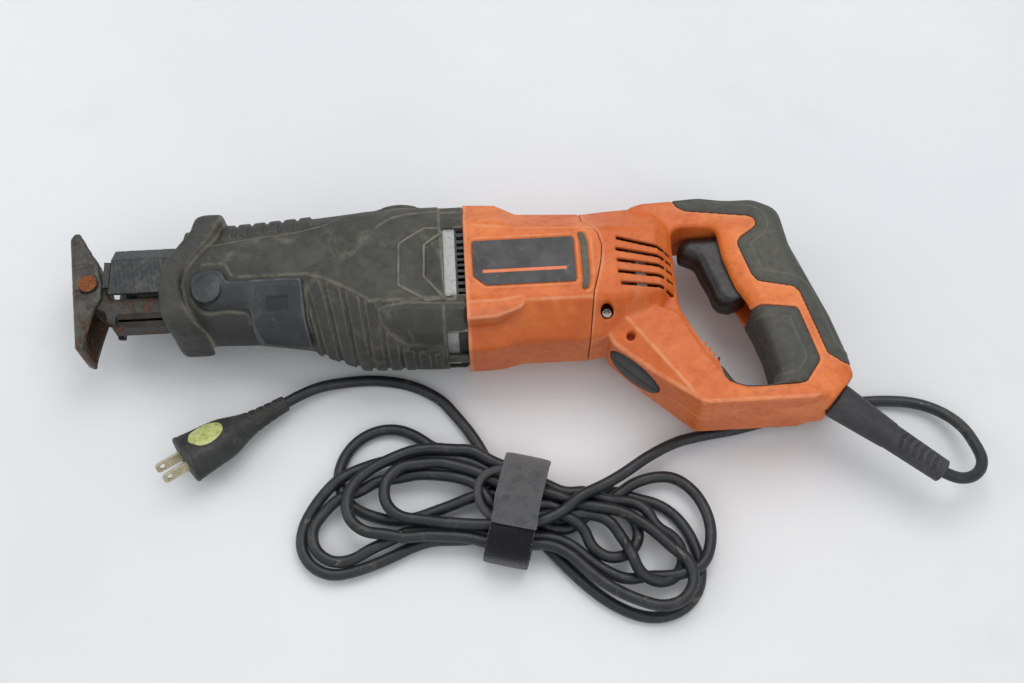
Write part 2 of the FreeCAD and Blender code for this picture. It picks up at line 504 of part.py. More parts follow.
# wire entry: seat of the strain relief
rb = V(*RELIEF_BASE)
rt = V(*RELIEF_TIP)
rd = (rt - rb)
RL = rd.Length
rd.normalize()
flat_dir = V(RELIEF_TIP[0] - RELIEF_BASE[0], RELIEF_TIP[1] - RELIEF_BASE[1], 0)
flat_dir.normalize()
root = Part.makeCylinder(8.0, 16.0, rb - rd * 15.0, rd)
collar = Part.makeCylinder(10.5, 4.0, rb - rd * 13.0, rd)
cone = Part.makeCone(11.0, 8.0, 34.0, rb - rd * 1.0, rd)
cone2 = Part.makeCone(8.0, 7.0, RL - 33.0, rb + rd * 33.0, rd)
relief = fuse([root, collar, cone, cone2]).removeSplitter()
seat = fuse([Part.makeCylinder(8.0, 40.0, rb - rd * 20.0, rd), collar, Part.makeCone(11.0, 8.0, 34.0, rb - rd * 1.0, rd)])
handle = handle.cut(seat)
for k in range(6):
    c = rb + rd * (44.0 + k * 5.0)
    n = Part.makeTorus(9.6, 2.2, c, rd)
    relief = relief.cut(n)
keep("strain_relief", relief)
rear_grip = rear_grip.cut(seat)
front_grip = front_grip.cut(seat)

half_lo = box(60, -120, -10, 260, 100, ZM)
half_hi = box(60, -120, ZM, 260, 100, 90)


def biggest(shape, floor=30.0):
    sol = [s for s in shape.Solids if s.Volume > floor]
    sol.sort(key=lambda s: -s.Volume)
    return sol


for nm, half in (("left", half_hi), ("right", half_lo)):
    h = biggest(handle.common(half))
    print("handle", nm, [round(s.Volume) for s in h])
    keep("handle_shell_" + nm, h[0])
    g = biggest(rear_grip.common(half))
    print("rear grip", nm, [round(s.Volume) for s in g])
    keep("rear_grip_" + nm, g[0])
    g = biggest(front_grip.common(half))
    print("front grip", nm, [round(s.Volume) for s in g])
    keep("front_grip_" + nm, g[0])

# ================================================================= trigger, its spring and the switch
trig_pts = [(141.3, 31.0, 5), (141.3, 38.5, 5), (147.0, 43.2, 4), (181.0, 43.2, 2), (181.0, -2.0, 2), (175.5, -7.5, 3), (167.0, -10.4, 4), (162.0, -10.4, 4), (158.8, -4.5, 6), (157.3, 6.0, 14), (153.8, 17.0, 12), (151.0, 26.0, 8), (146.5, 28.5, 6)]
trig = prism(trig_pts, ZM - 11.0, ZM + 11.0)
trig = soften(trig, 4.0, at_level([ZM - 11.0, ZM + 11.0]), "trigger")
trig = trig.cut(box(166.0, -6.0, ZM - 8.5, 182.0, 15.0, ZM + 8.5))
trig = trig.cut(cyl_x(166.0, 182.0, 26.0, ZM, 4.6))
keep("trigger", trig)
SPRING_X = (166.2, 189.8)
helix = Part.makeHelix(3.2, SPRING_X[1] - SPRING_X[0] - 1.2, 3.3)
prof = Part.Wire([Part.makeCircle(0.5, V(3.3, 0, 0), V(0, 1, 0))])
spring = Part.Wire(helix.Edges).makePipeShell([prof], True, True)
spring = Part.makeSolid(spring.Shells[0]) if spring.ShapeType != "Solid" else spring
spring.rotate(V(0, 0, 0), V(0, 1, 0), 90)
spring.translate(V(SPRING_X[0] + 0.6, 26.0, ZM))
keep("trigger_spring", spring)
switch = box(190.0, 6.0, ZM - 11.0, 201.5, 40.0, ZM + 11.0)
switch = soften(switch, 1.0, lambda e: abs(e.BoundBox.XMax - e.BoundBox.XMin) < 1e-3 and abs(e.BoundBox.XMin - 190.0) < 1e-3, "switch")
switch = switch.cut(cyl_x(189.0, 191.2, 26.0, ZM, 4.2))
keep("switch_body", switch)

# ================================================================= armature
shaft = cyl_x(-31.0, 122.0, MOTOR_Y, ZM, 4.0).fuse(cyl_x(-12.0, 0.0, MOTOR_Y, ZM, 5.0))
# bevel pinion: eight straight teeth on a cone whose apex lies on the crank gear's axis
APEX = V(GEAR_X, MOTOR_Y, ZM)
g0, g1 = GEAR_X + 24.2, GEAR_X + 30.8


def cone_x(xa, xb, ra, rb_):
    return Part.makeCone(ra, rb_, xb - xa, V(xa, MOTOR_Y, ZM), V(1, 0, 0))


slope = PINION_R / GEAR_R
pin_core = cone_x(g0, g1, (g0 - GEAR_X) * slope * 0.72, (g1 - GEAR_X) * slope * 0.72)
teeth = []
for k in range(PINION_TEETH):
    a = 2 * math.pi * (k + 0.5) / PINION_TEETH
    def pt(x, rr, da):
        r = (x - GEAR_X) * slope * rr
        return V(x, MOTOR_Y + r * math.sin(a + da), ZM + r * math.cos(a + da))
    w0 = rwire_pts = None
    ring0 = [pt(g0, 0.6, -0.20), pt(g0, 1.16, -0.085), pt(g0, 1.16, 0.085), pt(g0, 0.6, 0.20)]
    ring1 = [pt(g1, 0.6, -0.20), pt(g1, 1.16, -0.085), pt(g1, 1.16, 0.085), pt(g1, 0.6, 0.20)]
    w0 = Part.makePolygon(ring0 + [ring0[0]])
    w1 = Part.makePolygon(ring1 + [ring1[0]])
    teeth.append(Part.makeLoft([w0, w1], True, True))
pinion = fuse([pin_core] + teeth + [cyl_x(g1 - 0.01, -30.0, MOTOR_Y, ZM, 4.0)])
keep("armature_shaft", shaft.fuse(pinion))
CORE_X = (26.0, 76.0)
core = cyl_x(CORE_X[0], CORE_X[1], MOTOR_Y, ZM, 19.0)
for k in range(12):
    a = k * 30.0
    s = box(CORE_X[0] - 1, -1.6, 9.5, CORE_X[1] + 1, 1.6, 17.2)
    s2 = box(CORE_X[0] - 1, -0.8, 17.0, CORE_X[1] + 1, 0.8, 20.0)
    for q in (s, s2):
        q.rotate(V(0, 0, 0), V(1, 0, 0), a)
        q.translate(V(0, MOTOR_Y, ZM))
        core = core.cut(q)
core = core.cut(cyl_x(0, 100, MOTOR_Y, ZM, 4.0))
keep("armature_core", core)
w = []
for k in range(12):
    s = box(CORE_X[0], -1.5, 9.6, CORE_X[1], 1.5, 17.0)
    s.rotate(V(0, 0, 0), V(1, 0, 0), k * 30.0)
    s.translate(V(0, MOTOR_Y, ZM))
    w.append(s)
wind = fuse([ring_x(CORE_X[0] - 9.0, CORE_X[0], MOTOR_Y, ZM, 16.8, 5.0), ring_x(CORE_X[1], CORE_X[1] + 9.0, MOTOR_Y, ZM, 16.8, 5.0)] + w)
wind = wind.cut(cyl_x(0, 100, MOTOR_Y, ZM, 4.0))
keep("armature_windings", wind)
comm = ring_x(88.0, 104.0, MOTOR_Y, ZM, 11.5, 4.0)
for k in range(24):
    s = box(89.5, -0.3, 10.3, 105.0, 0.3, 12.0)
    s.rotate(V(0, 0, 0), V(1, 0, 0), k * 15.0)
    s.translate(V(0, MOTOR_Y, ZM))
    comm = comm.cut(s)
keep("commutator", comm)
fan = ring_x(10.5, 15.5, MOTOR_Y, ZM, 9.0, 4.0).fuse(ring_x(10.5, 12.0, MOTOR_Y, ZM, 30.0, 4.0))
blades = []
for k in range(18):
    s = box(12.0 - 0.2, -0.7, 12.0, 16.0, 0.7, 30.0)
    s.rotate(V(0, 0, 12.0), V(1, 0, 0), 18.0)
    s.rotate(V(0, 0, 0), V(1, 0, 0), k * 20.0)
    s.translate(V(0, MOTOR_Y, ZM))
    blades.append(s)
fan = fuse([fan] + blades)
fan = fan.common(cyl_x(10.0, 17.0, MOTOR_Y, ZM, 30.0)).cut(cyl_x(0, 30, MOTOR_Y, ZM, 4.0))
keep("cooling_fan", fan)

# field stator and its coils, fixed in the motor housing
st = cyl_x(CORE_X[0] + 0.0, CORE_X[1], MOTOR_Y, ZM, 34.0).cut(cyl_x(20, 80, MOTOR_Y, ZM, 20.0))
for s in (1, -1):
    st = st.cut(cyl_x(20, 80, MOTOR_Y, ZM, 27.5).common(box(20, MOTOR_Y + (12.0 if s > 0 else -30.0), ZM - 30, 80, MOTOR_Y + (30.0 if s > 0 else -12.0), ZM + 30)))
keep("field_stator", st)
coils = []
for s in (1, -1):
    y0, y1 = (MOTOR_Y + 12.3, MOTOR_Y + 30) if s > 0 else (MOTOR_Y - 30, MOTOR_Y - 12.3)
    c = cyl_x(CORE_X[0] - 6.0, CORE_X[1] + 6.0, MOTOR_Y, ZM, 27.2).cut(cyl_x(10, 100, MOTOR_Y, ZM, 20.2)).common(box(10, y0, ZM - 26, 100, y1, ZM + 26))
    coils.append(c.Solids[0])
keep("field_coils", Part.makeCompound(coils))

# bearings
fb = ring_x(-11.0, -2.0, MOTOR_Y, ZM, 13.0, 5.0)
fb = fb.cut(ring_x(-12.0, -9.6, MOTOR_Y, ZM, 10.6, 7.4)).cut(ring_x(-3.4, 0, MOTOR_Y, ZM, 10.6, 7.4))
keep("front_bearing", fb)
rb2 = ring_x(112.0, 119.0, MOTOR_Y, ZM, 9.5, 4.0)
rb2 = rb2.cut(ring_x(111.0, 113.4, MOTOR_Y, ZM, 7.6, 5.6)).cut(ring_x(117.6, 120, MOTOR_Y, ZM, 7.6, 5.6))
keep("rear_bearing", rb2)
# rear bearing cradle: a web in each shell half would hold it; one moulded bracket here
brk = box(112.5, MOTOR_Y - 30.0, ZM - 12.5, 118.5, MOTOR_Y + 36.0, ZM + 12.5).cut(cyl_x(100, 125, MOTOR_Y, ZM, 9.5))
keep("bearing_bracket", brk)
# brush holders and brushes on the commutator, above and below it
holders, brushes = [], []
for s_ in (1, -1):
    z_in, z_out = ZM + s_ * 13.0, ZM + s_ * 31.0
    h = box(91.0, MOTOR_Y - 6.0, min(z_in, z_out), 101.0, MOTOR_Y + 6.0, max(z_in, z_out))
    b = box(93.0, MOTOR_Y - 3.2, min(ZM + s_ * 11.7, ZM + s_ * 26.0), 99.0, MOTOR_Y + 3.2, max(ZM + s_ * 11.7, ZM + s_ * 26.0))
    e_in, e_out = ZM + s_ * 12.0, ZM + s_ * 29.0
    hole = box(92.97, MOTOR_Y - 3.23, min(e_in, e_out), 99.03, MOTOR_Y + 3.23, max(e_in, e_out))
    holders.append(h.cut(hole))
    brushes.append(b)
keep("brush_holders", Part.makeCompound(holders))
keep("carbon_brushes", Part.makeCompound(brushes))

# ================================================================= crank gear
gz_top = 31.2
gear = cyl_z(GEAR_X, MOTOR_Y, 21.5, 28.5, GEAR_R + 1.0)
gear = gear.fuse(cyl_z(GEAR_X, MOTOR_Y, 28.5, 30.5, 21.5))
gear_teeth = []
for k in range(GEAR_TEETH):
    a = 2 * math.pi * k / GEAR_TEETH
    def gp(r, z, half):
        # tooth thickness shrinks towards the axis with the radius
        ox, oy = math.cos(a), math.sin(a)
        h = half * r / GEAR_R
        return V(GEAR_X + r * ox - h * oy, MOTOR_Y + r * oy + h * ox, z)
    prof_a = [gp(24.0, 28.3, -1.0), gp(24.0, ZM - 24.0 * slope * 0.90, -0.45), gp(24.0, ZM - 24.0 * slope * 0.90, 0.45), gp(24.0, 28.3, 1.0)]
    prof_b = [gp(31.0, 28.3, -1.0), gp(31.0, ZM - 31.0 * slope * 0.90, -0.45), gp(31.0, ZM - 31.0 * slope * 0.90, 0.45), gp(31.0, 28.3, 1.0)]
    gear_teeth.append(Part.makeLoft([Part.makePolygon(prof_a + [prof_a[0]]), Part.makePolygon(prof_b + [prof_b[0]])], True, True))
# crank pin, short of the yoke so that gear and plunger can be posed one at a time
CRANK = STROKE / 2.0
crank_pin = cyl_z(GEAR_X, MOTOR_Y + CRANK, 30.0, 33.9, 5.0)
gear = fuse([gear] + gear_teeth + [crank_pin])
gear = gear.cut(cyl_z(GEAR_X, MOTOR_Y, 0, 60, 6.0))
# lightening pocket opposite to the pin
gear = gear.cut(cyl_z(GEAR_X, MOTOR_Y - 13.5, 25.0, 40.0, 4.5))
keep("crank_gear", gear)
keep("gear_spindle", cyl_z(GEAR_X, MOTOR_Y, 9.4, 31.5, 6.0))
bz = cyl_z(GEAR_X, MOTOR_Y, 10.0, 18.0, 14.0).cut(cyl_z(GEAR_X, MOTOR_Y, 0, 30, 6.0))
gr = cyl_z(GEAR_X, MOTOR_Y, 16.8, 20.0, 11.4).cut(cyl_z(GEAR_X, MOTOR_Y, 15, 21, 8.4))
keep("crank_bearing", bz.cut(gr))

# ================================================================= plunger with its scotch yoke
PL_X = (-200.0, -71.0)
pl = cyl_x(PL_X[0], PL_X[1] + 4.0, PLUNGER_Y, ZM, 9.5)
yoke = box(GEAR_X - 9.0, -9.0, 34.3, GEAR_X + 9.0, 45.0, 44.5).cut(box(GEAR_X - 5.4, MOTOR_Y - CRANK - 7.0, 30, GEAR_X + 5.4, MOTOR_Y + CRANK + 5.4, 50))
web_ = box(GEAR_X - 12.0, 24.5, 34.3, GEAR_X - 5.4, 41.5, 44.5)
pl = fuse([pl, yoke, web_])
pl = pl.cut(box(GEAR_X - 5.4, MOTOR_Y - CRANK - 7.0, 30, GEAR_X + 5.4, MOTOR_Y + CRANK + 5.4, 50))
# flat under the rear part, clear of the crank gear
pl = pl.cut(box(-109.0, 20.0, 20.0, GEAR_X + 12.0, 50.0, 34.3))
# blade slot in the front end
pl = pl.cut(box(PL_X[0] - 1, PLUNGER_Y - 7.0, ZM - 0.7, PL_X[0] + 22.0, PLUNGER_Y + 7.0, ZM + 0.7))
keep("plunger", pl)
fbush = ring_x(-156.0, -132.0, PLUNGER_Y, ZM, 12.5, 9.54)
rbush = ring_x(-112.0, -97.0, PLUNGER_Y, ZM, 12.5, 9.54)
keep("front_bushing", fbush)
keep("rear_bushing", rbush)
keep("plunger_seal", ring_x(-131.8, -127.0, PLUNGER_Y, ZM, 12.5, 9.58))

# blade clamp on the plunger's front end: fixed sleeve and turning collar
sleeve_r = 10.6
csleeve = ring_x(-200.0, -193.0, PLUNGER_Y, ZM, sleeve_r, 9.5).fuse(ring_x(-176.5, -172.0, PLUNGER_Y, ZM, sleeve_r, 9.5))
col = ring_x(-192.7, -176.8, PLUNGER_Y, ZM, 12.6, 9.56)
for k in range(10):
    s = cyl_x(-194, -176, PLUNGER_Y, ZM, 1.6)
    s.translate(V(0, 13.2 * math.cos(math.radians(36 * k + 18)), 13.2 * math.sin(math.radians(36 * k + 18))))
    col = col.cut(s)
keep("clamp_sleeve", Part.makeCompound([ring_x(-200.0, -193.0, PLUNGER_Y, ZM, sleeve_r, 9.5), ring_x(-176.5, -172.0, PLUNGER_Y, ZM, sleeve_r, 9.5)]))
keep("clamp_collar", col)

# ================================================================= cord
def tube(points, r, name):
    """Tube of radius r along straight runs joined by tangent arcs."""
    P = [V(*p) for p in points]
    edges, cur, radii, length = [], P[0], [], 0.0
    for i in range(1, len(P) - 1):
        a, b = P[i] - P[i - 1], P[i + 1] - P[i]
        la, lb = a.Length, b.Length
        a.normalize()
        b.normalize()
        turn = math.acos(max(-1.0, min(1.0, a.dot(b))))
        tan = 0.45 * min(la, lb)
        R = tan / math.tan(turn / 2)
        radii.append(round(R, 1))
        s, e = P[i] - a * tan, P[i] + b * tan
        bis = (b - a)
        bis.normalize()
        c = P[i] + bis * (R / math.cos(turn / 2))
        mid = c - bis * R
        if (s - cur).Length > 1e-4:
            edges.append(Part.LineSegment(cur, s).toShape())
            length += (s - cur).Length
        edges.append(Part.Arc(s, mid, e).toShape())
        length += R * turn
        cur = e
    edges.append(Part.LineSegment(cur, P[-1]).toShape())
    length += (P[-1] - cur).Length
    d0 = P[1] - P[0]
    d0.normalize()
    path = Part.Wire(edges)
    circ = Part.Wire([Part.makeCircle(r, P[0], d0)])
    s = path.makePipeShell([circ], True, False)
    s = Part.makeSolid(s.Shells[0]) if s.ShapeType != "Solid" else s
    if s.Volume < 0:
        s.reverse()
    print(name, "radii", radii, "length", round(length, 1), "volume ratio", round(s.Volume / (math.pi * r * r * length), 4))
    return s


LEAD = [RELIEF_TIP, tuple(V(*RELIEF_TIP) + rd * 17.0), (315.5, -124.5, 24.0), (329.0, -111.5, 19.5), (328.5, -91.0, 14.0), (314.5, -74.5, 8.5), (291.0, -63.5, 4.8), (262.0, -57.5, 3.6), (230.0, -58.0, 3.6), (199.0, -63.5, 3.6),
        (171.0, -70.0, 3.6), (147.0, -74.5, 3.6), (127.0, -83.0, 3.6), (109.5, -93.5, 3.6)]
TAIL = [PLUG_END, tuple(V(*PLUG_END) - V(*PLUG_DIR).normalize() * 17.5), (-72.0, -24.6, 3.6), (-50.0, -24.3, 3.6), (-29.0, -29.0, 3.6), (-11.0, -39.5, 3.6), (2.5, -54.0, 3.6), (13.0, -69.0, 3.6), (20.5, -82.0, 3.6)]
keep("cord_lead", tube(LEAD, CORD_D / 2, "cord_lead"))
keep("cord_tail", tube(TAIL, CORD_D / 2, "cord_tail"))

# hank: closed solid of the tied bundle's outer shape
hank_pts = [(109.5, -90.0, 4), (122.0, -92.5, 10), (146.0, -117.0, 16), (152.0, -138.0, 14), (146.0, -160.0, 14), (128.0, -184.0, 18), (106.0, -190.0, 16), (80.0, -181.0, 16), (55.0, -158.0, 12), (30.0, -146.5, 8), (5.0, -149.0, 10), (-30.0, -158.0, 14), (-66.0, -160.0, 16), (-92.0, -148.0, 16), (-103.0, -127.0, 16),
            (-98.0, -104.0, 14), (-80.0, -86.0, 12), (-62.0, -66.0, 10), (-40.0, -55.5, 10), (-14.0, -62.0, 10), (6.0, -76.0, 6), (20.5, -82.0, 2), (40.0, -92.0, 10), (75.0, -101.0, 10)]
hank = prism(hank_pts, 0.1, 22.0)
hank = soften(hank, 4.0, at_level([22.0]), "hank")
lead_tube, tail_tube = NODES["cord_lead"], NODES["cord_tail"]
# strap of hook-and-loop tape round the waist
STRAP_C = (31.5, -118.0)
STRAP_ANG = -15.0
def strap_prism(hw, v0, v1, z0, z1, r):
    p = prism([(v0, z0, r), (v1, z0, r), (v1, z1, r), (v0, z1, r)], -hw, hw, plane="yz")
    p.rotate(V(0, 0, 0), V(0, 0, 1), STRAP_ANG)
    p.translate(V(STRAP_C[0], STRAP_C[1], 0))
    return p
s_out = strap_prism(13.5, -32.0, 32.0, 0.05, 27.0, 11.0)
s_in = strap_prism(14.5, -29.4, 29.4, 2.4, 24.6, 9.0)
strap = s_out.cut(s_in)
keep("cord_strap", strap)
waist_cut = strap_prism(13.5, -60.0, 60.0, -1.0, 40.0, 0.0)
hank = hank.cut(waist_cut).fuse(strap_prism(13.5, -29.4, 29.4, 2.4, 24.6, 9.0).common(strap_prism(13.5, -29.0, 29.0, 2.8, 24.2, 8.6)))
hank = hank.fuse(strap_prism(14.5, -26.0, 26.0, 3.0, 21.0, 6.0))
hank = hank.cut(lead_tube).cut(tail_tube).cut(strap)
hs = biggest(hank)
print("hank", [round(s.Volume) for s in hs])
keep("cord_hank", hs[0])

# ================================================================= plug
pe = V(*PLUG_END)
pd = V(*PLUG_DIR)
pd.normalize()
up = V(0, 0, 1)
side = pd.cross(up)
side.normalize()
top = side.cross(pd)
top.normalize()
ROLL = math.radians(40.0)
w_axis = side * math.cos(ROLL) + top * math.sin(ROLL)      # along the plug's width
h_axis = top * math.cos(ROLL) - side * math.sin(ROLL)


def plug_section(s, w, h, r):
    pts = [(-w / 2, -h / 2, r), (w / 2, -h / 2, r), (w / 2, h / 2, r), (-w / 2, h / 2, r)]
    cs = rounded(pts)
    edges = []
    o = pe + pd * s
    f = lambda q: o + w_axis * q[0] + h_axis * q[1]
    for i in range(4):
        a, b, m_ = cs[i]
        edges.append(Part.Arc(f(a), f(m_), f(b)).toShape())
        edges.append(Part.LineSegment(f(b), f(cs[(i + 1) % 4][0])).toShape())
    return Part.Wire(edges)


secs = [(0.0, 9.6, 9.6, 4.6), (14.0, 11.4, 11.0, 5.0), (30.0, 14.5, 13.0, 5.5), (40.0, 23.0, 16.5, 6.5), (50.0, 27.5, 18.5, 7.5), (60.0, 28.0, 19.0, 8.0), (72.0, 31.0, 21.5, 7.0), (76.0, 31.0, 21.5, 7.0)]
plug = Part.makeLoft([plug_section(*s) for s in secs], True, True)
plug_low = plug.BoundBox.ZMin
print("plug lowest", round(plug_low, 2))
blades_s = []
for sgn in (1, -1):
    o = pe + pd * 70.0 + w_axis * (6.35 * sgn) - h_axis * 3.2 - w_axis * 0.75
    b = Part.Face(Part.makePolygon([o, o + w_axis * 1.5, o + w_axis * 1.5 + h_axis * 6.4, o + h_axis * 6.4, o])).extrude(pd * 23.5)
    hole = Part.makeCylinder(1.6, 8.0, pe + pd * 89.0 + w_axis * (6.35 * sgn - 4.0), w_axis)
    blades_s.append(b.cut(hole))
plug = plug.cut(blades_s[0]).cut(blades_s[1])
lens_o = pe + pd * 60.0 + h_axis * 8.0
lens = Part.makeCylinder(1.0, 2.6, V(0, 0, 0), V(0, 0, 1))
m = FreeCAD.Matrix()
m.scale(12.0, 8.0, 1.0)
lens = lens.transformGeometry(m)
mm = FreeCAD.Matrix(pd.x, w_axis.x, h_axis.x, lens_o.x, pd.y, w_axis.y, h_axis.y, lens_o.y, pd.z, w_axis.z, h_axis.z, lens_o.z, 0, 0, 0, 1)
if mm.determinant() < 0:
    mm = FreeCAD.Matrix(-pd.x, w_axis.x, h_axis.x, lens_o.x, -pd.y, w_axis.y, h_axis.y, lens_o.y, -pd.z, w_axis.z, h_axis.z, lens_o.z, 0, 0, 0, 1)
lens = lens.transformGeometry(mm)
plug = plug.cut(lens)
keep("plug_body", plug)
keep("plug_blades", Part.makeCompound(blades_s))
keep("plug_lens", lens)

# ================================================================= write out
allb = None
for name, s in NODES.items():
    bb = s.BoundBox
    print("%-20s solids %d vol %9.1f valid %s  x %.1f..%.1f y %.1f..%.1f z %.2f..%.2f" % (name, len(s.Solids), s.Volume, s.isValid(), bb.XMin, bb.XMax, bb.YMin, bb.YMax, bb.ZMin, bb.ZMax))
    s.exportStep("parts/%s.step" % name)
print(len(NODES), "nodes")
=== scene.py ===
# Reciprocating saw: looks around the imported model. Units here are millimetres until a mesh is made.
import math

import bmesh
import bpy
import numpy as np
from mathutils import Matrix, Vector


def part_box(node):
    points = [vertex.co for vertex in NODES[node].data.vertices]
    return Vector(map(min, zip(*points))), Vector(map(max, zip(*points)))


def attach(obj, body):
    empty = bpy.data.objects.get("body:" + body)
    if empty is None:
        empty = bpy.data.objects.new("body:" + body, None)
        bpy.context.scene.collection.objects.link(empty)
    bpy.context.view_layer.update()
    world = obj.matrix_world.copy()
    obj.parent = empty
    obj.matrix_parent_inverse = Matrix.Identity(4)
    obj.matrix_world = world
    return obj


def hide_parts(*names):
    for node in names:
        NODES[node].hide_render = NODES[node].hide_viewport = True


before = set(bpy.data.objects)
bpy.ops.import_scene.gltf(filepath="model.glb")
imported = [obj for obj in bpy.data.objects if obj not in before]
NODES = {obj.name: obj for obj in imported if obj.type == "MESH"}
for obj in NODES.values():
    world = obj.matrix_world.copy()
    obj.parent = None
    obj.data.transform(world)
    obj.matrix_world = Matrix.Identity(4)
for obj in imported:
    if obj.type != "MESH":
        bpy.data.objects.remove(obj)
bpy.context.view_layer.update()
ZM = 38.0
FINE = 1.0

# ------------------------------------------------------------------ camera, light, floor
scene = bpy.context.scene
scene.view_settings.view_transform = "Standard"
scene.view_settings.look = "None"
CAM = Vector((0.0160, -0.3388, 0.7601))
AIM = Vector((0.0355, -0.0010, 0.0))
cam_data = bpy.data.cameras.new("camera")
cam_data.sensor_width = 36.0
cam_data.lens = 45.7
cam_data.clip_end = 20.0
cam = bpy.data.objects.new("camera", cam_data)
scene.collection.objects.link(cam)
back = (CAM - AIM).normalized()
right = Vector((math.cos(math.radians(-3.3)), math.sin(math.radians(-3.3)), 0.0))
right = (right - back * right.dot(back)).normalized()
up = back.cross(right)
cam.matrix_world = Matrix(((right.x, up.x, back.x, CAM.x), (right.y, up.y, back.y, CAM.y), (right.z, up.z, back.z, CAM.z), (0, 0, 0, 1)))
scene.camera = cam


def area(name, loc, aim, size, power, color=(1, 1, 1)):
    d = bpy.data.lights.new(name, "AREA")
    d.shape = "RECTANGLE"
    d.size, d.size_y = size
    d.energy = power
    d.color = color
    o = bpy.data.objects.new(name, d)
    scene.collection.objects.link(o)
    o.location = loc
    o.rotation_euler = (Vector(aim) - Vector(loc)).to_track_quat("-Z", "Y").to_euler()
    return o


area("key", (0.25, 0.75, 1.7), (0.0, -0.02, 0.0), (1.5, 1.2), 15.0, (1.0, 0.99, 0.97))
area("left", (-1.5, 0.1, 1.1), (0.0, 0.0, 0.0), (1.2, 1.2), 6.0, (0.96, 0.98, 1.0))
area("fill", (0.7, -1.1, 1.3), (0.0, -0.05, 0.0), (1.4, 1.0), 4.0, (1.0, 1.0, 1.0))
world = bpy.data.worlds.new("studio")
world.use_nodes = True
world.node_tree.nodes["Background"].inputs[0].default_value = (0.93, 0.96, 1.0, 1.0)
world.node_tree.nodes["Background"].inputs[1].default_value = 0.62
scene.world = world


# ------------------------------------------------------------------ materials
class Tree:
    def __init__(self, name):
        self.mat = bpy.data.materials.new(name)
        self.mat.use_nodes = True
        self.t = self.mat.node_tree
        self.t.nodes.clear()
        self.out = self.t.nodes.new("ShaderNodeOutputMaterial")
        self.bsdf = self.t.nodes.new("ShaderNodeBsdfPrincipled")
        self.t.links.new(self.bsdf.outputs[0], self.out.inputs[0])
        self.tc = self.t.nodes.new("ShaderNodeTexCoord").outputs["Object"]
        self.bump_out = None

    def link(self, a, b):
        self.t.links.new(a, b)

    def noise(self, scale, detail=5.0, rough=0.55, distort=0.0, vec=None, stretch=None):
        n = self.t.nodes.new("ShaderNodeTexNoise")
        n.inputs["Scale"].default_value = scale
        n.inputs["Detail"].default_value = detail
        n.inputs["Roughness"].default_value = rough
        n.inputs["Distortion"].default_value = distort
        v = vec or self.tc
        if stretch:
            m = self.t.nodes.new("ShaderNodeMapping")
            m.inputs["Scale"].default_value = stretch
            self.link(v, m.inputs["Vector"])
            v = m.outputs[0]
        self.link(v, n.inputs["Vector"])
        return n.outputs["Fac"]

    def voronoi(self, scale, feature="F1", stretch=None):
        n = self.t.nodes.new("ShaderNodeTexVoronoi")
        n.feature = feature
        n.inputs["Scale"].default_value = scale
        v = self.tc
        if stretch:
            m = self.t.nodes.new("ShaderNodeMapping")
            m.inputs["Scale"].default_value = stretch
            self.link(v, m.inputs["Vector"])
            v = m.outputs[0]
        self.link(v, n.inputs["Vector"])
        return n.outputs["Distance"]

    def ramp(self, fac, a, b, smooth=True):
        n = self.t.nodes.new("ShaderNodeMapRange")
        n.interpolation_type = "SMOOTHSTEP" if smooth else "LINEAR"
        n.inputs["From Min"].default_value = a
        n.inputs["From Max"].default_value = b
        self.link(fac, n.inputs["Value"])
        return n.outputs["Result"]

    def rng(self, fac, a, b, lo, hi):
        n = self.t.nodes.new("ShaderNodeMapRange")
        n.inputs["From Min"].default_value = a
        n.inputs["From Max"].default_value = b
        n.inputs["To Min"].default_value = lo
        n.inputs["To Max"].default_value = hi
        self.link(fac, n.inputs["Value"])
        return n.outputs["Result"]

    def math(self, op, a, b=None, clamp=False):
        n = self.t.nodes.new("ShaderNodeMath")
        n.operation = op
        n.use_clamp = clamp
        for i, v in enumerate((a, b)):
            if v is None:
                continue
            if isinstance(v, (int, float)):
                n.inputs[i].default_value = v
            else:
                self.link(v, n.inputs[i])
        return n.outputs[0]

    def mix(self, fac, a, b):
        n = self.t.nodes.new("ShaderNodeMix")
        n.data_type = "RGBA"
        for i, v in ((0, fac), (6, a), (7, b)):
            if isinstance(v, (int, float)):
                n.inputs[i].default_value = v
            elif isinstance(v, tuple):
                n.inputs[i].default_value = (*v, 1.0)
            else:
                self.link(v, n.inputs[i])
        return n.outputs[2]

    def attr(self, name):
        n = self.t.nodes.new("ShaderNodeAttribute")
        n.attribute_name = name
        return n.outputs["Fac"]

    def xyz(self):
        n = self.t.nodes.new("ShaderNodeSeparateXYZ")
        self.link(self.tc, n.inputs[0])
        return n.outputs

    def normal_z(self):
        g = self.t.nodes.new("ShaderNodeNewGeometry")
        n = self.t.nodes.new("ShaderNodeSeparateXYZ")
        self.link(g.outputs["Normal"], n.inputs[0])
        return n.outputs[2]

    def bump(self, height, dist, strength=1.0):
        n = self.t.nodes.new("ShaderNodeBump")
        n.inputs["Distance"].default_value = dist
        n.inputs["Strength"].default_value = strength
        self.link(height, n.inputs["Height"])
        if self.bump_out is not None:
            self.link(self.bump_out, n.inputs["Normal"])
        self.bump_out = n.outputs[0]
        self.link(self.bump_out, self.bsdf.inputs["Normal"])

    def color(self, c):
        self.link(c, self.bsdf.inputs["Base Color"])

    def set(self, **kw):
        for k, v in kw.items():
            self.bsdf.inputs[k.replace("_", " ")].default_value = v


def s2l(r, g, b):
    def f(c):
        c /= 255.0
        return c / 12.92 if c <= 0.04045 else ((c + 0.055) / 1.055) ** 2.4
    return (f(r), f(g), f(b))


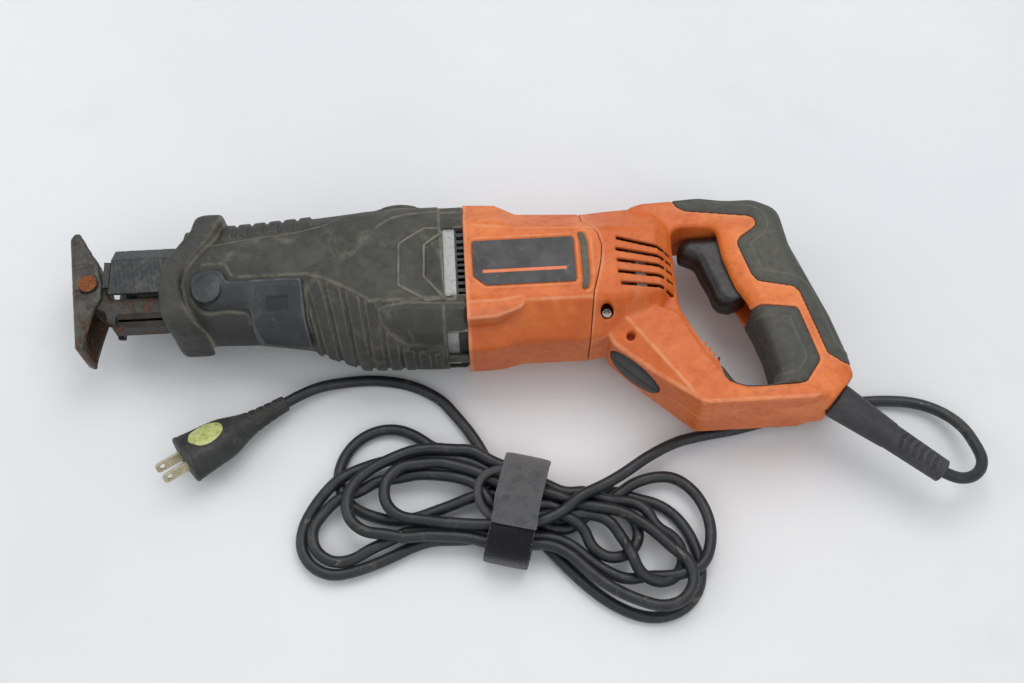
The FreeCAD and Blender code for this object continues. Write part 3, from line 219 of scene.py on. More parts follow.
def worn(name, base, alt, dust, dark, rough=(0.5, 0.7), dust_amt=0.5, dark_amt=0.5, edge_amt=0.8, edge=None, grain=(2600.0, 0.00006), blotch=28.0, spec=0.4, metallic=0.0, speck=0.35, coat=0.0, streak=None, sheen=0.0, zone=None):
    """A moulded or rubber surface in use: two tones in soft blotches, dust in the hollows, rubbed edges, specks and a fine grain."""
    t = Tree(name)
    big = t.noise(blotch, 6.0, 0.6, 0.6)
    c = t.mix(t.ramp(big, 0.38, 0.66), base, alt)
    fine = t.noise(blotch * 9.0, 5.0, 0.65)
    c = t.mix(t.math("MULTIPLY", t.ramp(fine, 0.45, 0.75), 0.35), c, dark)
    cav = t.attr("cav")
    wide = t.attr("cavw")
    # darker in the wide hollows, in noise patches: painted shade mixed with grime
    hollow_shade_and_grime = t.math("MULTIPLY", t.ramp(wide, 0.05, 0.55), t.rng(t.noise(blotch * 3.0, 4.0), 0.3, 0.6, 0.3, 1.0))
    c = t.mix(t.math("MULTIPLY", hollow_shade_and_grime, dark_amt, True), c, dark)
    hollow = t.math("MULTIPLY", t.ramp(cav, 0.10, 0.55), t.rng(t.noise(blotch * 6.0, 5.0), 0.32, 0.6, 0.15, 1.0))
    c = t.mix(t.math("MULTIPLY", hollow, dust_amt, True), c, dust)
    rub = t.math("MULTIPLY", t.ramp(t.math("MULTIPLY", cav, -1.0), 0.12, 0.60), t.rng(t.noise(blotch * 7.0, 6.0, 0.7), 0.34, 0.62, 0.1, 1.0))
    c = t.mix(t.math("MULTIPLY", rub, edge_amt, True), c, edge or dust)
    film = t.math("MULTIPLY", t.ramp(t.noise(blotch * 1.9, 8.0, 0.72, 1.2), 0.52, 0.74), dust_amt * 0.55)
    c = t.mix(film, c, dust)
    sp = t.math("MULTIPLY", t.ramp(t.noise(blotch * 38.0, 3.0, 0.8), 0.70, 0.80), speck)
    c = t.mix(sp, c, dust)
    sc = t.math("MULTIPLY", t.ramp(t.noise(blotch * 16.0, 2.0, 0.4, 0.0, None, (0.25, 1.0, 1.0)), 0.70, 0.78), speck * 0.8)
    c = t.mix(sc, c, dark)
    if streak:
        c = t.mix(t.math("MULTIPLY", t.ramp(t.noise(blotch * 2.6, 6.0, 0.7, 2.0), 0.62, 0.72), streak[1]), c, streak[0])
    if zone:
        # darker where the part marks tone: the boot's marked areas and the lever's window in their own colour; the
        # motor's lower face and tongue underside, the handle facet, the handle opening and the lever's lower part as
        # painted shade
        c = t.mix(t.math("MULTIPLY", t.attr("tone"), t.rng(big, 0.3, 0.7, 0.75, 1.0)), c, zone)
        # pale lines where the part marks line along edges and creases: painted highlight, broken up by noise, with some
        # rubbed wear
        edge_highlight_and_wear = t.math("MULTIPLY", t.attr("line"), t.rng(t.noise(blotch * 5.0, 6.0, 0.7), 0.30, 0.60, 0.12, 0.95))
        c = t.mix(edge_highlight_and_wear, c, edge or dust)
    t.color(c)
    t.link(t.rng(t.math("ADD", fine, t.math("MULTIPLY", film, 0.5)), 0.3, 0.8, rough[0], rough[1]), t.bsdf.inputs["Roughness"])
    t.set(Metallic=metallic, Specular_IOR_Level=spec, Coat_Weight=coat, Sheen_Weight=sheen)
    t.bump(t.noise(grain[0], 3.0, 0.6), grain[1], 0.8)
    t.bump(t.noise(blotch * 10.0, 4.0, 0.6), 0.00022, 0.35)
    return t.mat


def metal(name, base, alt, dark, rough=(0.25, 0.5), rust=None, blotch=60.0, metallic=1.0, rust_amt=0.0, brushed=None, bumpd=0.00012):
    t = Tree(name)
    n1 = t.noise(blotch, 6.0, 0.65, 0.8)
    c = t.mix(t.ramp(n1, 0.35, 0.68), base, alt)
    c = t.mix(t.math("MULTIPLY", t.ramp(t.noise(blotch * 5.0, 6.0, 0.7), 0.52, 0.72), 0.6), c, dark)
    cav = t.attr("cav")
    # darker in the hollows: painted shade
    c = t.mix(t.math("MULTIPLY", t.ramp(cav, 0.08, 0.5), 0.7), c, dark)
    c = t.mix(t.math("MULTIPLY", t.ramp(t.math("MULTIPLY", cav, -1.0), 0.15, 0.6), 0.45), c, alt)
    met = None
    if rust:
        r1 = t.noise(blotch * 0.55, 8.0, 0.72, 1.6)
        r2 = t.noise(blotch * 7.0, 6.0, 0.75)
        m = t.math("ADD", r1, t.math("ADD", t.math("MULTIPLY", t.ramp(t.attr("cavw"), 0.0, 0.6), 0.10), t.math("MULTIPLY", t.attr("tone"), 0.09)))
        mask = t.ramp(m, 0.66 - rust_amt * 0.22, 0.76 - rust_amt * 0.22)
        rc = t.mix(t.ramp(r2, 0.35, 0.65), rust[0], rust[1])
        c = t.mix(mask, c, rc)
        met = t.math("SUBTRACT", 1.0, mask, True)
        t.bump(t.math("MULTIPLY", r2, mask), 0.0006, 0.9)
        t.link(t.math("ADD", t.rng(n1, 0.3, 0.7, rough[0], rough[1]), t.math("MULTIPLY", mask, 0.4), True), t.bsdf.inputs["Roughness"])
        t.link(t.math("MULTIPLY", met, metallic), t.bsdf.inputs["Metallic"])
    else:
        t.link(t.rng(n1, 0.3, 0.7, rough[0], rough[1]), t.bsdf.inputs["Roughness"])
        t.set(Metallic=metallic)
    # pale lines where the part marks line: painted highlight with rubbed wear
    c = t.mix(t.math("MULTIPLY", t.attr("line"), t.rng(t.noise(blotch * 3.0, 5.0, 0.7), 0.3, 0.6, 0.1, 0.8)), c, alt)
    t.color(c)
    if brushed:
        t.bump(t.noise(1200.0, 2.0, 0.5, 0.0, None, brushed), 0.00004, 0.7)
    t.bump(t.noise(blotch * 12.0, 4.0, 0.6), bumpd, 0.6)
    return t.mat


M = {}
M["orange"] = worn("orange_plastic_worn", s2l(203, 95, 30), s2l(222, 118, 50), s2l(206, 164, 132), s2l(142, 66, 32), (0.40, 0.60), 0.42, 0.45, 0.60, s2l(226, 158, 116), (3000.0, 0.00005), 22.0, 0.45, 0.0, 0.30, zone=s2l(178, 84, 38))
M["boot"] = worn("nose_rubber_worn", s2l(55, 56, 51), s2l(71, 71, 64), s2l(150, 145, 126), s2l(38, 38, 37), (0.50, 0.76), 0.55, 0.5, 0.85, s2l(132, 128, 113), (2200.0, 0.00010), 24.0, 0.4, 0.0, 0.25, zone=s2l(44, 45, 43))
M["grip"] = worn("grip_rubber_worn", s2l(66, 66, 61), s2l(78, 77, 70), s2l(136, 128, 110), s2l(42, 42, 39), (0.48, 0.72), 0.40, 0.45, 0.55, s2l(108, 105, 94), (1700.0, 0.00014), 26.0, 0.4, 0.0, 0.25, zone=s2l(44, 44, 41))
M["lever"] = worn("lever_plastic_worn", s2l(40, 42, 43), s2l(53, 55, 56), s2l(132, 132, 128), s2l(34, 35, 38), (0.34, 0.56), 0.35, 0.4, 0.55, s2l(120, 122, 124), (2600.0, 0.00006), 34.0, 0.45, 0.0, 0.35, zone=s2l(30, 32, 34))
M["black"] = worn("black_plastic_worn", s2l(34, 34, 36), s2l(48, 48, 50), s2l(120, 114, 104), s2l(18, 18, 20), (0.40, 0.6), 0.35, 0.4, 0.4, s2l(90, 90, 90), (2400.0, 0.00006), 40.0, 0.45, 0.0, 0.3)
M["trigger"] = worn("trigger_rubber", s2l(27, 25, 27), s2l(37, 34, 36), s2l(120, 110, 104), s2l(24, 24, 26), (0.34, 0.55), 0.30, 0.4, 0.45, s2l(104, 100, 102), (2200.0, 0.00008), 36.0, 0.5, 0.0, 0.3)
M["relief"] = worn("relief_rubber", s2l(52, 52, 54), s2l(66, 66, 68), s2l(120, 116, 110), s2l(32, 32, 34), (0.50, 0.7), 0.35, 0.4, 0.4, s2l(104, 104, 104), (2200.0, 0.00008), 36.0, 0.4, 0.0, 0.3)
M["cord"] = worn("cord_rubber", s2l(26, 28, 31), s2l(38, 40, 42), s2l(126, 119, 104), s2l(15, 16, 19), (0.34, 0.56), 0.45, 0.4, 0.0, s2l(92, 90, 86), (2600.0, 0.00006), 30.0, 0.5, 0.0, 0.30, 0.0, (s2l(146, 138, 118), 0.55))
M["plug"] = worn("plug_rubber", s2l(42, 43, 42), s2l(55, 56, 54), s2l(140, 134, 112), s2l(36, 38, 34), (0.5, 0.7), 0.5, 0.45, 0.55, s2l(120, 120, 104), (2200.0, 0.00008), 48.0, 0.4, 0.0, 0.4)
M["label"] = None
M["strip"] = worn("side_strip", s2l(74, 76, 70), s2l(88, 90, 82), s2l(140, 136, 122), s2l(48, 48, 46), (0.5, 0.7), 0.4, 0.4, 0.4, None, (2200.0, 0.00007), 40.0)
M["accent"] = worn("orange_accent_worn", s2l(216, 104, 52), s2l(224, 124, 76), s2l(214, 176, 146), s2l(150, 70, 40), (0.45, 0.6), 0.35, 0.4, 0.5, None, (2600.0, 0.00005), 60.0)
M["alu"] = metal("cast_aluminium_casting", s2l(142, 144, 142), s2l(166, 167, 164), s2l(84, 84, 82), (0.40, 0.62), None, 90.0, 0.75)
M["steel"] = metal("plain_steel", s2l(128, 124, 116), s2l(156, 152, 144), s2l(96, 92, 86), (0.22, 0.42), None, 120.0)
M["shoe"] = metal("shoe_steel_worn", s2l(60, 58, 55), s2l(88, 85, 79), s2l(32, 30, 28), (0.30, 0.52), (s2l(108, 74, 48), s2l(64, 40, 27)), 75.0, 0.55, 0.55, None, 0.0003)
M["rivet"] = metal("rusted_rivet", s2l(120, 80, 50), s2l(150, 100, 62), s2l(60, 40, 30), (0.4, 0.7), (s2l(158, 84, 38), s2l(88, 48, 28)), 160.0, 0.7, 1.1, None, 0.0003)
M["hood"] = metal("black_steel_hood", s2l(54, 55, 55), s2l(82, 83, 82), s2l(28, 28, 29), (0.34, 0.55), (s2l(110, 72, 44), s2l(64, 44, 32)), 60.0, 0.6, 0.12, None, 0.0002)
M["post"] = metal("post_steel", s2l(56, 54, 50), s2l(78, 75, 69), s2l(32, 30, 28), (0.35, 0.6), (s2l(126, 74, 38), s2l(66, 42, 28)), 70.0, 0.6, 0.42, None, 0.0003)
M["copper"] = metal("enamelled_copper", s2l(184, 98, 52), s2l(206, 122, 70), s2l(110, 54, 30), (0.25, 0.42), None, 200.0, 1.0, 0.0, (1.0, 60.0, 60.0))
M["lam"] = metal("lamination_stack", s2l(126, 126, 124), s2l(150, 150, 148), s2l(70, 68, 66), (0.35, 0.55), None, 160.0, 1.0, 0.0, (60.0, 1.0, 1.0))
M["carbon"] = worn("brush_carbon", s2l(38, 38, 40), s2l(52, 52, 54), s2l(90, 88, 86), s2l(20, 20, 20), (0.5, 0.7), 0.2, 0.3, 0.3, None, (3000.0, 0.00008), 120.0)
M["brass"] = metal("brass_nickel", s2l(176, 164, 134), s2l(204, 194, 168), s2l(112, 100, 76), (0.25, 0.42), None, 140.0)
M["bronze"] = metal("bearing_bronze", s2l(170, 124, 72), s2l(194, 150, 96), s2l(100, 70, 40), (0.3, 0.5), None, 120.0)


def m_floor():
    t = Tree("table_top")
    c = t.mix(t.ramp(t.noise(1.6, 5.0, 0.6), 0.3, 0.7), s2l(219, 221, 223), s2l(229, 229, 229))
    c = t.mix(t.math("MULTIPLY", t.ramp(t.noise(9.0, 6.0, 0.7), 0.55, 0.8), 0.35), c, s2l(206, 206, 207))
    t.color(c)
    t.link(t.rng(t.noise(30.0, 4.0), 0.3, 0.7, 0.5, 0.62), t.bsdf.inputs["Roughness"])
    t.set(Specular_IOR_Level=0.3)
    t.bump(t.noise(400.0, 3.0), 0.0001, 0.3)
    return t.mat


def m_label():
    t = Tree("label_black")
    p = t.xyz()
    c = t.mix(t.ramp(t.noise(60.0, 6.0, 0.7), 0.4, 0.7), s2l(27, 27, 29), s2l(38, 37, 39))
    x = t.math("MULTIPLY", t.math("GREATER_THAN", p[0], 0.0188), t.math("LESS_THAN", p[0], 0.0686))
    y = t.math("MULTIPLY", t.math("GREATER_THAN", p[1], 0.0104), t.math("LESS_THAN", p[1], 0.0124))
    band = t.math("MULTIPLY", x, y)
    worn_ = t.math("MULTIPLY", band, t.rng(t.noise(700.0, 4.0, 0.7), 0.3, 0.42, 0.6, 1.0))
    c = t.mix(worn_, c, s2l(222, 110, 52))
    c = t.mix(t.math("MULTIPLY", t.ramp(t.noise(90.0, 8.0, 0.75, 1.5), 0.56, 0.72), 0.4), c, s2l(130, 122, 114))
    c = t.mix(t.math("MULTIPLY", t.ramp(t.noise(900.0, 3.0, 0.8), 0.70, 0.78), 0.5), c, s2l(176, 168, 158))
    t.color(c)
    t.link(t.rng(t.noise(90.0, 4.0), 0.3, 0.7, 0.3, 0.5), t.bsdf.inputs["Roughness"])
    t.bump(t.noise(500.0, 4.0), 0.00005, 0.5)
    return t.mat


def m_lens():
    t = Tree("plug_lens_yellow")
    c = t.mix(t.ramp(t.noise(160.0, 5.0, 0.6), 0.4, 0.7), s2l(176, 184, 108), s2l(204, 208, 140))
    c = t.mix(t.math("MULTIPLY", t.ramp(t.noise(420.0, 5.0, 0.7), 0.52, 0.66), 0.7), c, s2l(92, 96, 58))
    t.color(c)
    t.link(t.rng(t.noise(200.0, 4.0), 0.3, 0.7, 0.22, 0.4), t.bsdf.inputs["Roughness"])
    t.bump(t.noise(700.0, 4.0), 0.00005, 0.5)
    return t.mat


def m_strap(dark):
    t = Tree("strap_hooks" if dark else "strap_loops")
    n = t.noise(2600.0, 4.0, 0.7)
    if dark:
        c = t.mix(t.ramp(n, 0.35, 0.7), s2l(9, 9, 11), s2l(20, 20, 22))
        v = t.voronoi(1500.0)
        c = t.mix(t.math("MULTIPLY", t.ramp(t.noise(1500.0, 2.0, 0.8), 0.68, 0.74), 0.35), c, s2l(140, 140, 146))
        t.bump(v, 0.0005, 0.9)
    else:
        c = t.mix(t.ramp(n, 0.3, 0.7), s2l(74, 74, 75), s2l(108, 108, 108))
        c = t.mix(t.math("MULTIPLY", t.ramp(t.noise(120.0, 6.0, 0.7), 0.45, 0.7), 0.6), c, s2l(58, 58, 60))
        t.bump(t.noise(3200.0, 5.0, 0.8, 0.5), 0.0007, 0.9)
    t.color(c)
    t.set(Roughness=0.95, Specular_IOR_Level=0.15, Sheen_Weight=0.4, Sheen_Roughness=0.5)
    t.bump(t.noise(300.0, 4.0), 0.0006, 0.5)
    return t.mat


M["floor"] = m_floor()
M["label"] = m_label()
M["lens"] = m_lens()
M["strap_dark"] = m_strap(True)
M["strap_grey"] = m_strap(False)


# ------------------------------------------------------------------ mesh tools
def new_object(name, me, mat):
    me.materials.append(mat)
    o = bpy.data.objects.new(name, me)
    scene.collection.objects.link(o)
    return o


def mesh_from(name, verts, faces4=None, faces=None, smooth=True):
    me = bpy.data.meshes.new(name)
    v = np.ascontiguousarray(np.asarray(verts, np.float32) / 1000.0)
    if faces4 is not None:
        q = np.ascontiguousarray(faces4, np.int32)
        me.vertices.add(len(v))
        me.vertices.foreach_set("co", v.ravel())
        me.loops.add(q.size)
        me.loops.foreach_set("vertex_index", q.ravel())
        me.polygons.add(len(q))
        me.polygons.foreach_set("loop_start", np.arange(0, q.size, 4, dtype=np.int32))
        me.polygons.foreach_set("loop_total", np.full(len(q), 4, np.int32))
        me.update(calc_edges=True)
    else:
        me.from_pydata([tuple(map(float, p)) for p in v], [], faces)
        me.update(calc_edges=True)
    me.validate()
    if smooth:
        me.polygons.foreach_set("use_smooth", np.ones(len(me.polygons), bool))
    return me


def add_cav(me, step, k1=3, k2=14, gain=1.0):
    """Stores how hollow or proud each point is, close to and over a wider reach, for the dust, wear and painted shade
    in the materials.
    """
    n = len(me.vertices)
    co = np.empty(n * 3, np.float32)
    me.vertices.foreach_get("co", co)
    co = co.reshape(-1, 3).astype(np.float64) * 1000.0
    no = np.empty(n * 3, np.float32)
    me.vertices.foreach_get("normal", no)
    no = no.reshape(-1, 3)
    e = np.empty(len(me.edges) * 2, np.int32)
    me.edges.foreach_get("vertices", e)
    e = e.reshape(-1, 2)
    deg = np.maximum(np.bincount(e.ravel(), minlength=n), 1)

    def avg(f):
        out = np.empty_like(f)
        for i in range(f.shape[1]):
            out[:, i] = np.bincount(e[:, 0], f[e[:, 1], i], n) + np.bincount(e[:, 1], f[e[:, 0], i], n)
        return (out / deg[:, None] + f) * 0.5
    p = co.copy()
    for _ in range(k1):
        p = avg(p)
    c1 = ((p - co) * no).sum(1) / step * 2.2 * gain
    for _ in range(k2 - k1):
        p = avg(p)
    c2 = ((p - co) * no).sum(1) / step * 0.7 * gain
    for nm, c in (("cav", c1), ("cavw", c2)):
        c = avg(c[:, None])[:, 0]
        a = me.attributes.new(nm, "FLOAT", "POINT")
        a.data.foreach_set("value", np.clip(c, -2, 2).astype(np.float32))


def nets(F, org, h):
    """Surface of a sampled distance field, inside negative, as points and four-sided faces."""
    S = F < 0
    nx, ny, nz = F.shape
    cnt = np.zeros((nx - 1, ny - 1, nz - 1), np.int8)
    for i in (0, 1):
        for j in (0, 1):
            for k in (0, 1):
                cnt += S[i:nx - 1 + i, j:ny - 1 + j, k:nz - 1 + k]
    act = (cnt > 0) & (cnt < 8)
    idx = np.full(act.shape, -1, np.int32)
    I, J, K = np.nonzero(act)
    idx[I, J, K] = np.arange(len(I), dtype=np.int32)
    pos = np.zeros((len(I), 3))
    num = np.zeros(len(I))
    for ax in range(3):
        for a in (0, 1):
            for b in (0, 1):
                o0 = [0, 0, 0]
                o0[(ax + 1) % 3] = a
                o0[(ax + 2) % 3] = b
                o1 = list(o0)
                o1[ax] = 1
                fa = F[I + o0[0], J + o0[1], K + o0[2]]
                fb = F[I + o1[0], J + o1[1], K + o1[2]]
                c = (fa < 0) != (fb < 0)
                t = np.where(c, fa / np.where(c, fa - fb, 1), 0)
                for q in range(3):
                    pos[:, q] += np.where(c, o0[q] + (t if q == ax else 0), 0)
                num += c
    pos /= num[:, None]
    pos += np.stack([I, J, K], 1)
    V = pos * h + np.array(org)
    quads = []
    for ax in range(3):
        lo = [slice(None)] * 3
        hi = [slice(None)] * 3
        lo[ax] = slice(0, -1)
        hi[ax] = slice(1, None)
        A, B = S[tuple(lo)], S[tuple(hi)]
        d = A != B
        u, v = (ax + 1) % 3, (ax + 2) % 3
        P = np.stack(np.nonzero(d), 1)
        ok = (P[:, u] > 0) & (P[:, v] > 0) & (P[:, u] < F.shape[u] - 1) & (P[:, v] < F.shape[v] - 1)
        P = P[ok]
        ins = A[P[:, 0], P[:, 1], P[:, 2]]
        cor = []
        for du, dv in ((-1, -1), (0, -1), (0, 0), (-1, 0)):
            Q = P.copy()
            Q[:, u] += du
            Q[:, v] += dv
            cor.append(idx[Q[:, 0], Q[:, 1], Q[:, 2]])
        q = np.stack(cor, 1)
        q = np.where(ins[:, None], q, q[:, ::-1])
        quads.append(q)
    return V, np.concatenate(quads)


def grid(lo, hi, h):
    ax = [np.arange(lo[i] - 2 * h, hi[i] + 2.5 * h, h) for i in range(3)]
    return ax[0][:, None, None], ax[1][None, :, None], ax[2][None, None, :], (lo[0] - 2 * h, lo[1] - 2 * h, lo[2] - 2 * h)


def build(name, F, org, h, mat, smooth=1, keep_big=True, gain=1.0, marks=None, place=None):
    V, Q = nets(np.ascontiguousarray(F, np.float32), org, h)
    n = len(V)
    if keep_big:
        # drop stray islands
        lab = np.arange(n)
        e = np.concatenate([Q[:, [0, 1]], Q[:, [1, 2]], Q[:, [2, 3]], Q[:, [3, 0]]])
        for _ in range(400):
            m = np.minimum(lab[e[:, 0]], lab[e[:, 1]])
            new = lab.copy()
            np.minimum.at(new, e[:, 0], m)
            np.minimum.at(new, e[:, 1], m)
            new = new[new]
            if (new == lab).all():
                break
            lab = new
        big = np.bincount(lab, minlength=n)
        ok = big[lab] > 60
        remap = np.cumsum(ok) - 1
        Q = remap[Q[ok[Q[:, 0]]]]
        V = V[ok]
        n = len(V)
    if smooth:
        e = np.concatenate([Q[:, [0, 1]], Q[:, [1, 2]], Q[:, [2, 3]], Q[:, [3, 0]]])
        deg = np.maximum(np.bincount(e.ravel(), minlength=n), 1)
        for _ in range(smooth):
            for lam in (0.5, -0.35):
                s = np.stack([np.bincount(e[:, 0], V[e[:, 1], i], n) + np.bincount(e[:, 1], V[e[:, 0], i], n) for i in range(3)], 1) / deg[:, None]
                V = V + lam * (s - V)
    local = V
    if place:
        V = place(V)
    me = mesh_from(name, V, Q)
    add_cav(me, h, gain=gain)
    for key, fn in (marks or {}).items():
        a = me.attributes.new(key, "FLOAT", "POINT")
        a.data.foreach_set("value", np.clip(fn(local[:, 0], local[:, 1], local[:, 2]), 0, 1).astype(np.float32))
    return new_object(name, me, mat)


def poly(P, X, Y, r=0.0):
    """Signed distance to a polygon in the plane, inside negative."""
    P = np.asarray(P, float)[:, :2]
    d = np.full(np.broadcast(X, Y).shape, 1e9)
    s = np.ones(d.shape)
    n = len(P)
    for i in range(n):
        a, b = P[i], P[(i + 1) % n]
        ex, ey = b - a
        wx, wy = X - a[0], Y - a[1]
        t = np.clip((wx * ex + wy * ey) / (ex * ex + ey * ey), 0, 1)
        d = np.minimum(d, (wx - ex * t) ** 2 + (wy - ey * t) ** 2)
        c1, c2, c3 = Y >= a[1], Y < b[1], ex * wy > ey * wx
        s = np.where((c1 & c2 & c3) | (~c1 & ~c2 & ~c3), -s, s)
    return np.sqrt(d) * s - r


def arc_poly(P, n=7):
    """Corners given with a radius as a third number become arcs."""
    out = []
    m = len(P)
    for i in range(m):
        p = np.array(P[i][:2], float)
        r = P[i][2] if len(P[i]) > 2 else 0.0
        a, b = np.array(P[i - 1][:2], float), np.array(P[(i + 1) % m][:2], float)
        u, v = a - p, b - p
        lu, lv = np.linalg.norm(u), np.linalg.norm(v)
        u, v = u / lu, v / lv
        ang = math.acos(max(-1, min(1, float(u @ v))))
        if r <= 0 or ang > 3.05:
            out.append(tuple(p))
            continue
        t = min(r / math.tan(ang / 2), lu * 0.49, lv * 0.49)
        r = t * math.tan(ang / 2)
        bis = (u + v) / np.linalg.norm(u + v)
        c = p + bis * (r / math.sin(ang / 2))
        s, e = p + u * t - c, p + v * t - c
        a0, a1 = math.atan2(s[1], s[0]), math.atan2(e[1], e[0])
        da = (a1 - a0 + math.pi) % (2 * math.pi) - math.pi
        for k in range(n + 1):
            q = a0 + da * k / n
            out.append((c[0] + r * math.cos(q), c[1] + r * math.sin(q)))
    return out


def smin(a, b, k):
    h = np.clip(0.5 + 0.5 * (b - a) / k, 0, 1)
    return b + (a - b) * h - k * h * (1 - h)


def smax(a, b, k):
    return -smin(-a, -b, k)


def ss(x, a, b):
    t = np.clip((x - a) / (b - a), 0, 1)
    return t * t * (3 - 2 * t)


def ext(d2, dz, r):
    """Extrusion of a flat shape, with its edges rounded."""
    u, v = d2 + r, dz + r
    return np.sqrt(np.maximum(u, 0) ** 2 + np.maximum(v, 0) ** 2) - r + np.minimum(np.maximum(u, v), 0)


def section(X, Y, Z, tab, R):
    """Eight-sided section that changes along x: (x, y0, y1, half width, flat from, flat to)."""
    xs = [t[0] for t in tab]
    y0, y1, hz, f0, f1 = [np.interp(X, xs, [t[i] for t in tab]) for i in range(1, 6)]
    a = 0.45 * hz
    z = np.abs(Z - ZM)
    lu = np.sqrt((y1 - f1) ** 2 + (hz - a) ** 2)
    cu = ((Y - y1) * (hz - a) + (z - a) * (y1 - f1)) / lu
    ll = np.sqrt((f0 - y0) ** 2 + (hz - a) ** 2)
    cl = (-(Y - y0) * (hz - a) + (z - a) * (f0 - y0)) / ll
    ds = [Y - y1, y0 - Y, z - hz, cu, cl]
    m = ds[0]
    for d in ds[1:]:
        m = np.maximum(m, d)
    s = sum(np.maximum(d + R, 0) ** 2 for d in ds)
    return np.where(m > -R, np.sqrt(s) - R, m)


def boxd(X, Y, Z, x0, x1, y0, y1, z0, z1, r=0.0):
    dx = np.maximum(x0 - X, X - x1) + r
    dy = np.maximum(y0 - Y, Y - y1) + r
    dz = np.maximum(z0 - Z, Z - z1) + r
    return np.sqrt(np.maximum(dx, 0) ** 2 + np.maximum(dy, 0) ** 2 + np.maximum(dz, 0) ** 2) - r + np.minimum(np.maximum(np.maximum(dx, dy), dz), 0)


def put(o, body, slot, *nodes):
    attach(o, body)
    if nodes:
        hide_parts(*nodes)
    return o


BOOT = [(-160, -8, 66, 24, 14, 44), (-120, -9, 67.5, 28, 14, 45), (-88, -13.5, 68.5, 32.5, 12, 46.5), (-55, -26.5, 70, 37, -2, 50), (8.3, -28.5, 70, 38, -4, 44)]
MOTOR = [(8.3, -30, 69.5, 38, -6, 44), (28, -29.5, 68.3, 38, -6, 44), (41, -26.5, 61, 38, -8, 40), (82, -26.5, 58.8, 38, -8, 38), (92, -26.5, 58.8, 38, -8, 38)]
FRONT = [(72, -26.5, 58.8, 38, -8, 38), (82, -26.5, 58.8, 38, -8, 38), (98, -24, 60.6, 36, -8, 38), (124, -16, 63, 31.5, -2, 38), (134, -10, 63.6, 21, 2, 42)]

# ------------------------------------------------------------------ floor
floor_me = bpy.data.meshes.new("floor")
floor_me.from_pydata([(-4, -4, 0), (4, -4, 0), (4, 4, 0), (-4, 4, 0)], [], [(0, 1, 2, 3)])
floor = new_object("floor", floor_me, M["floor"])

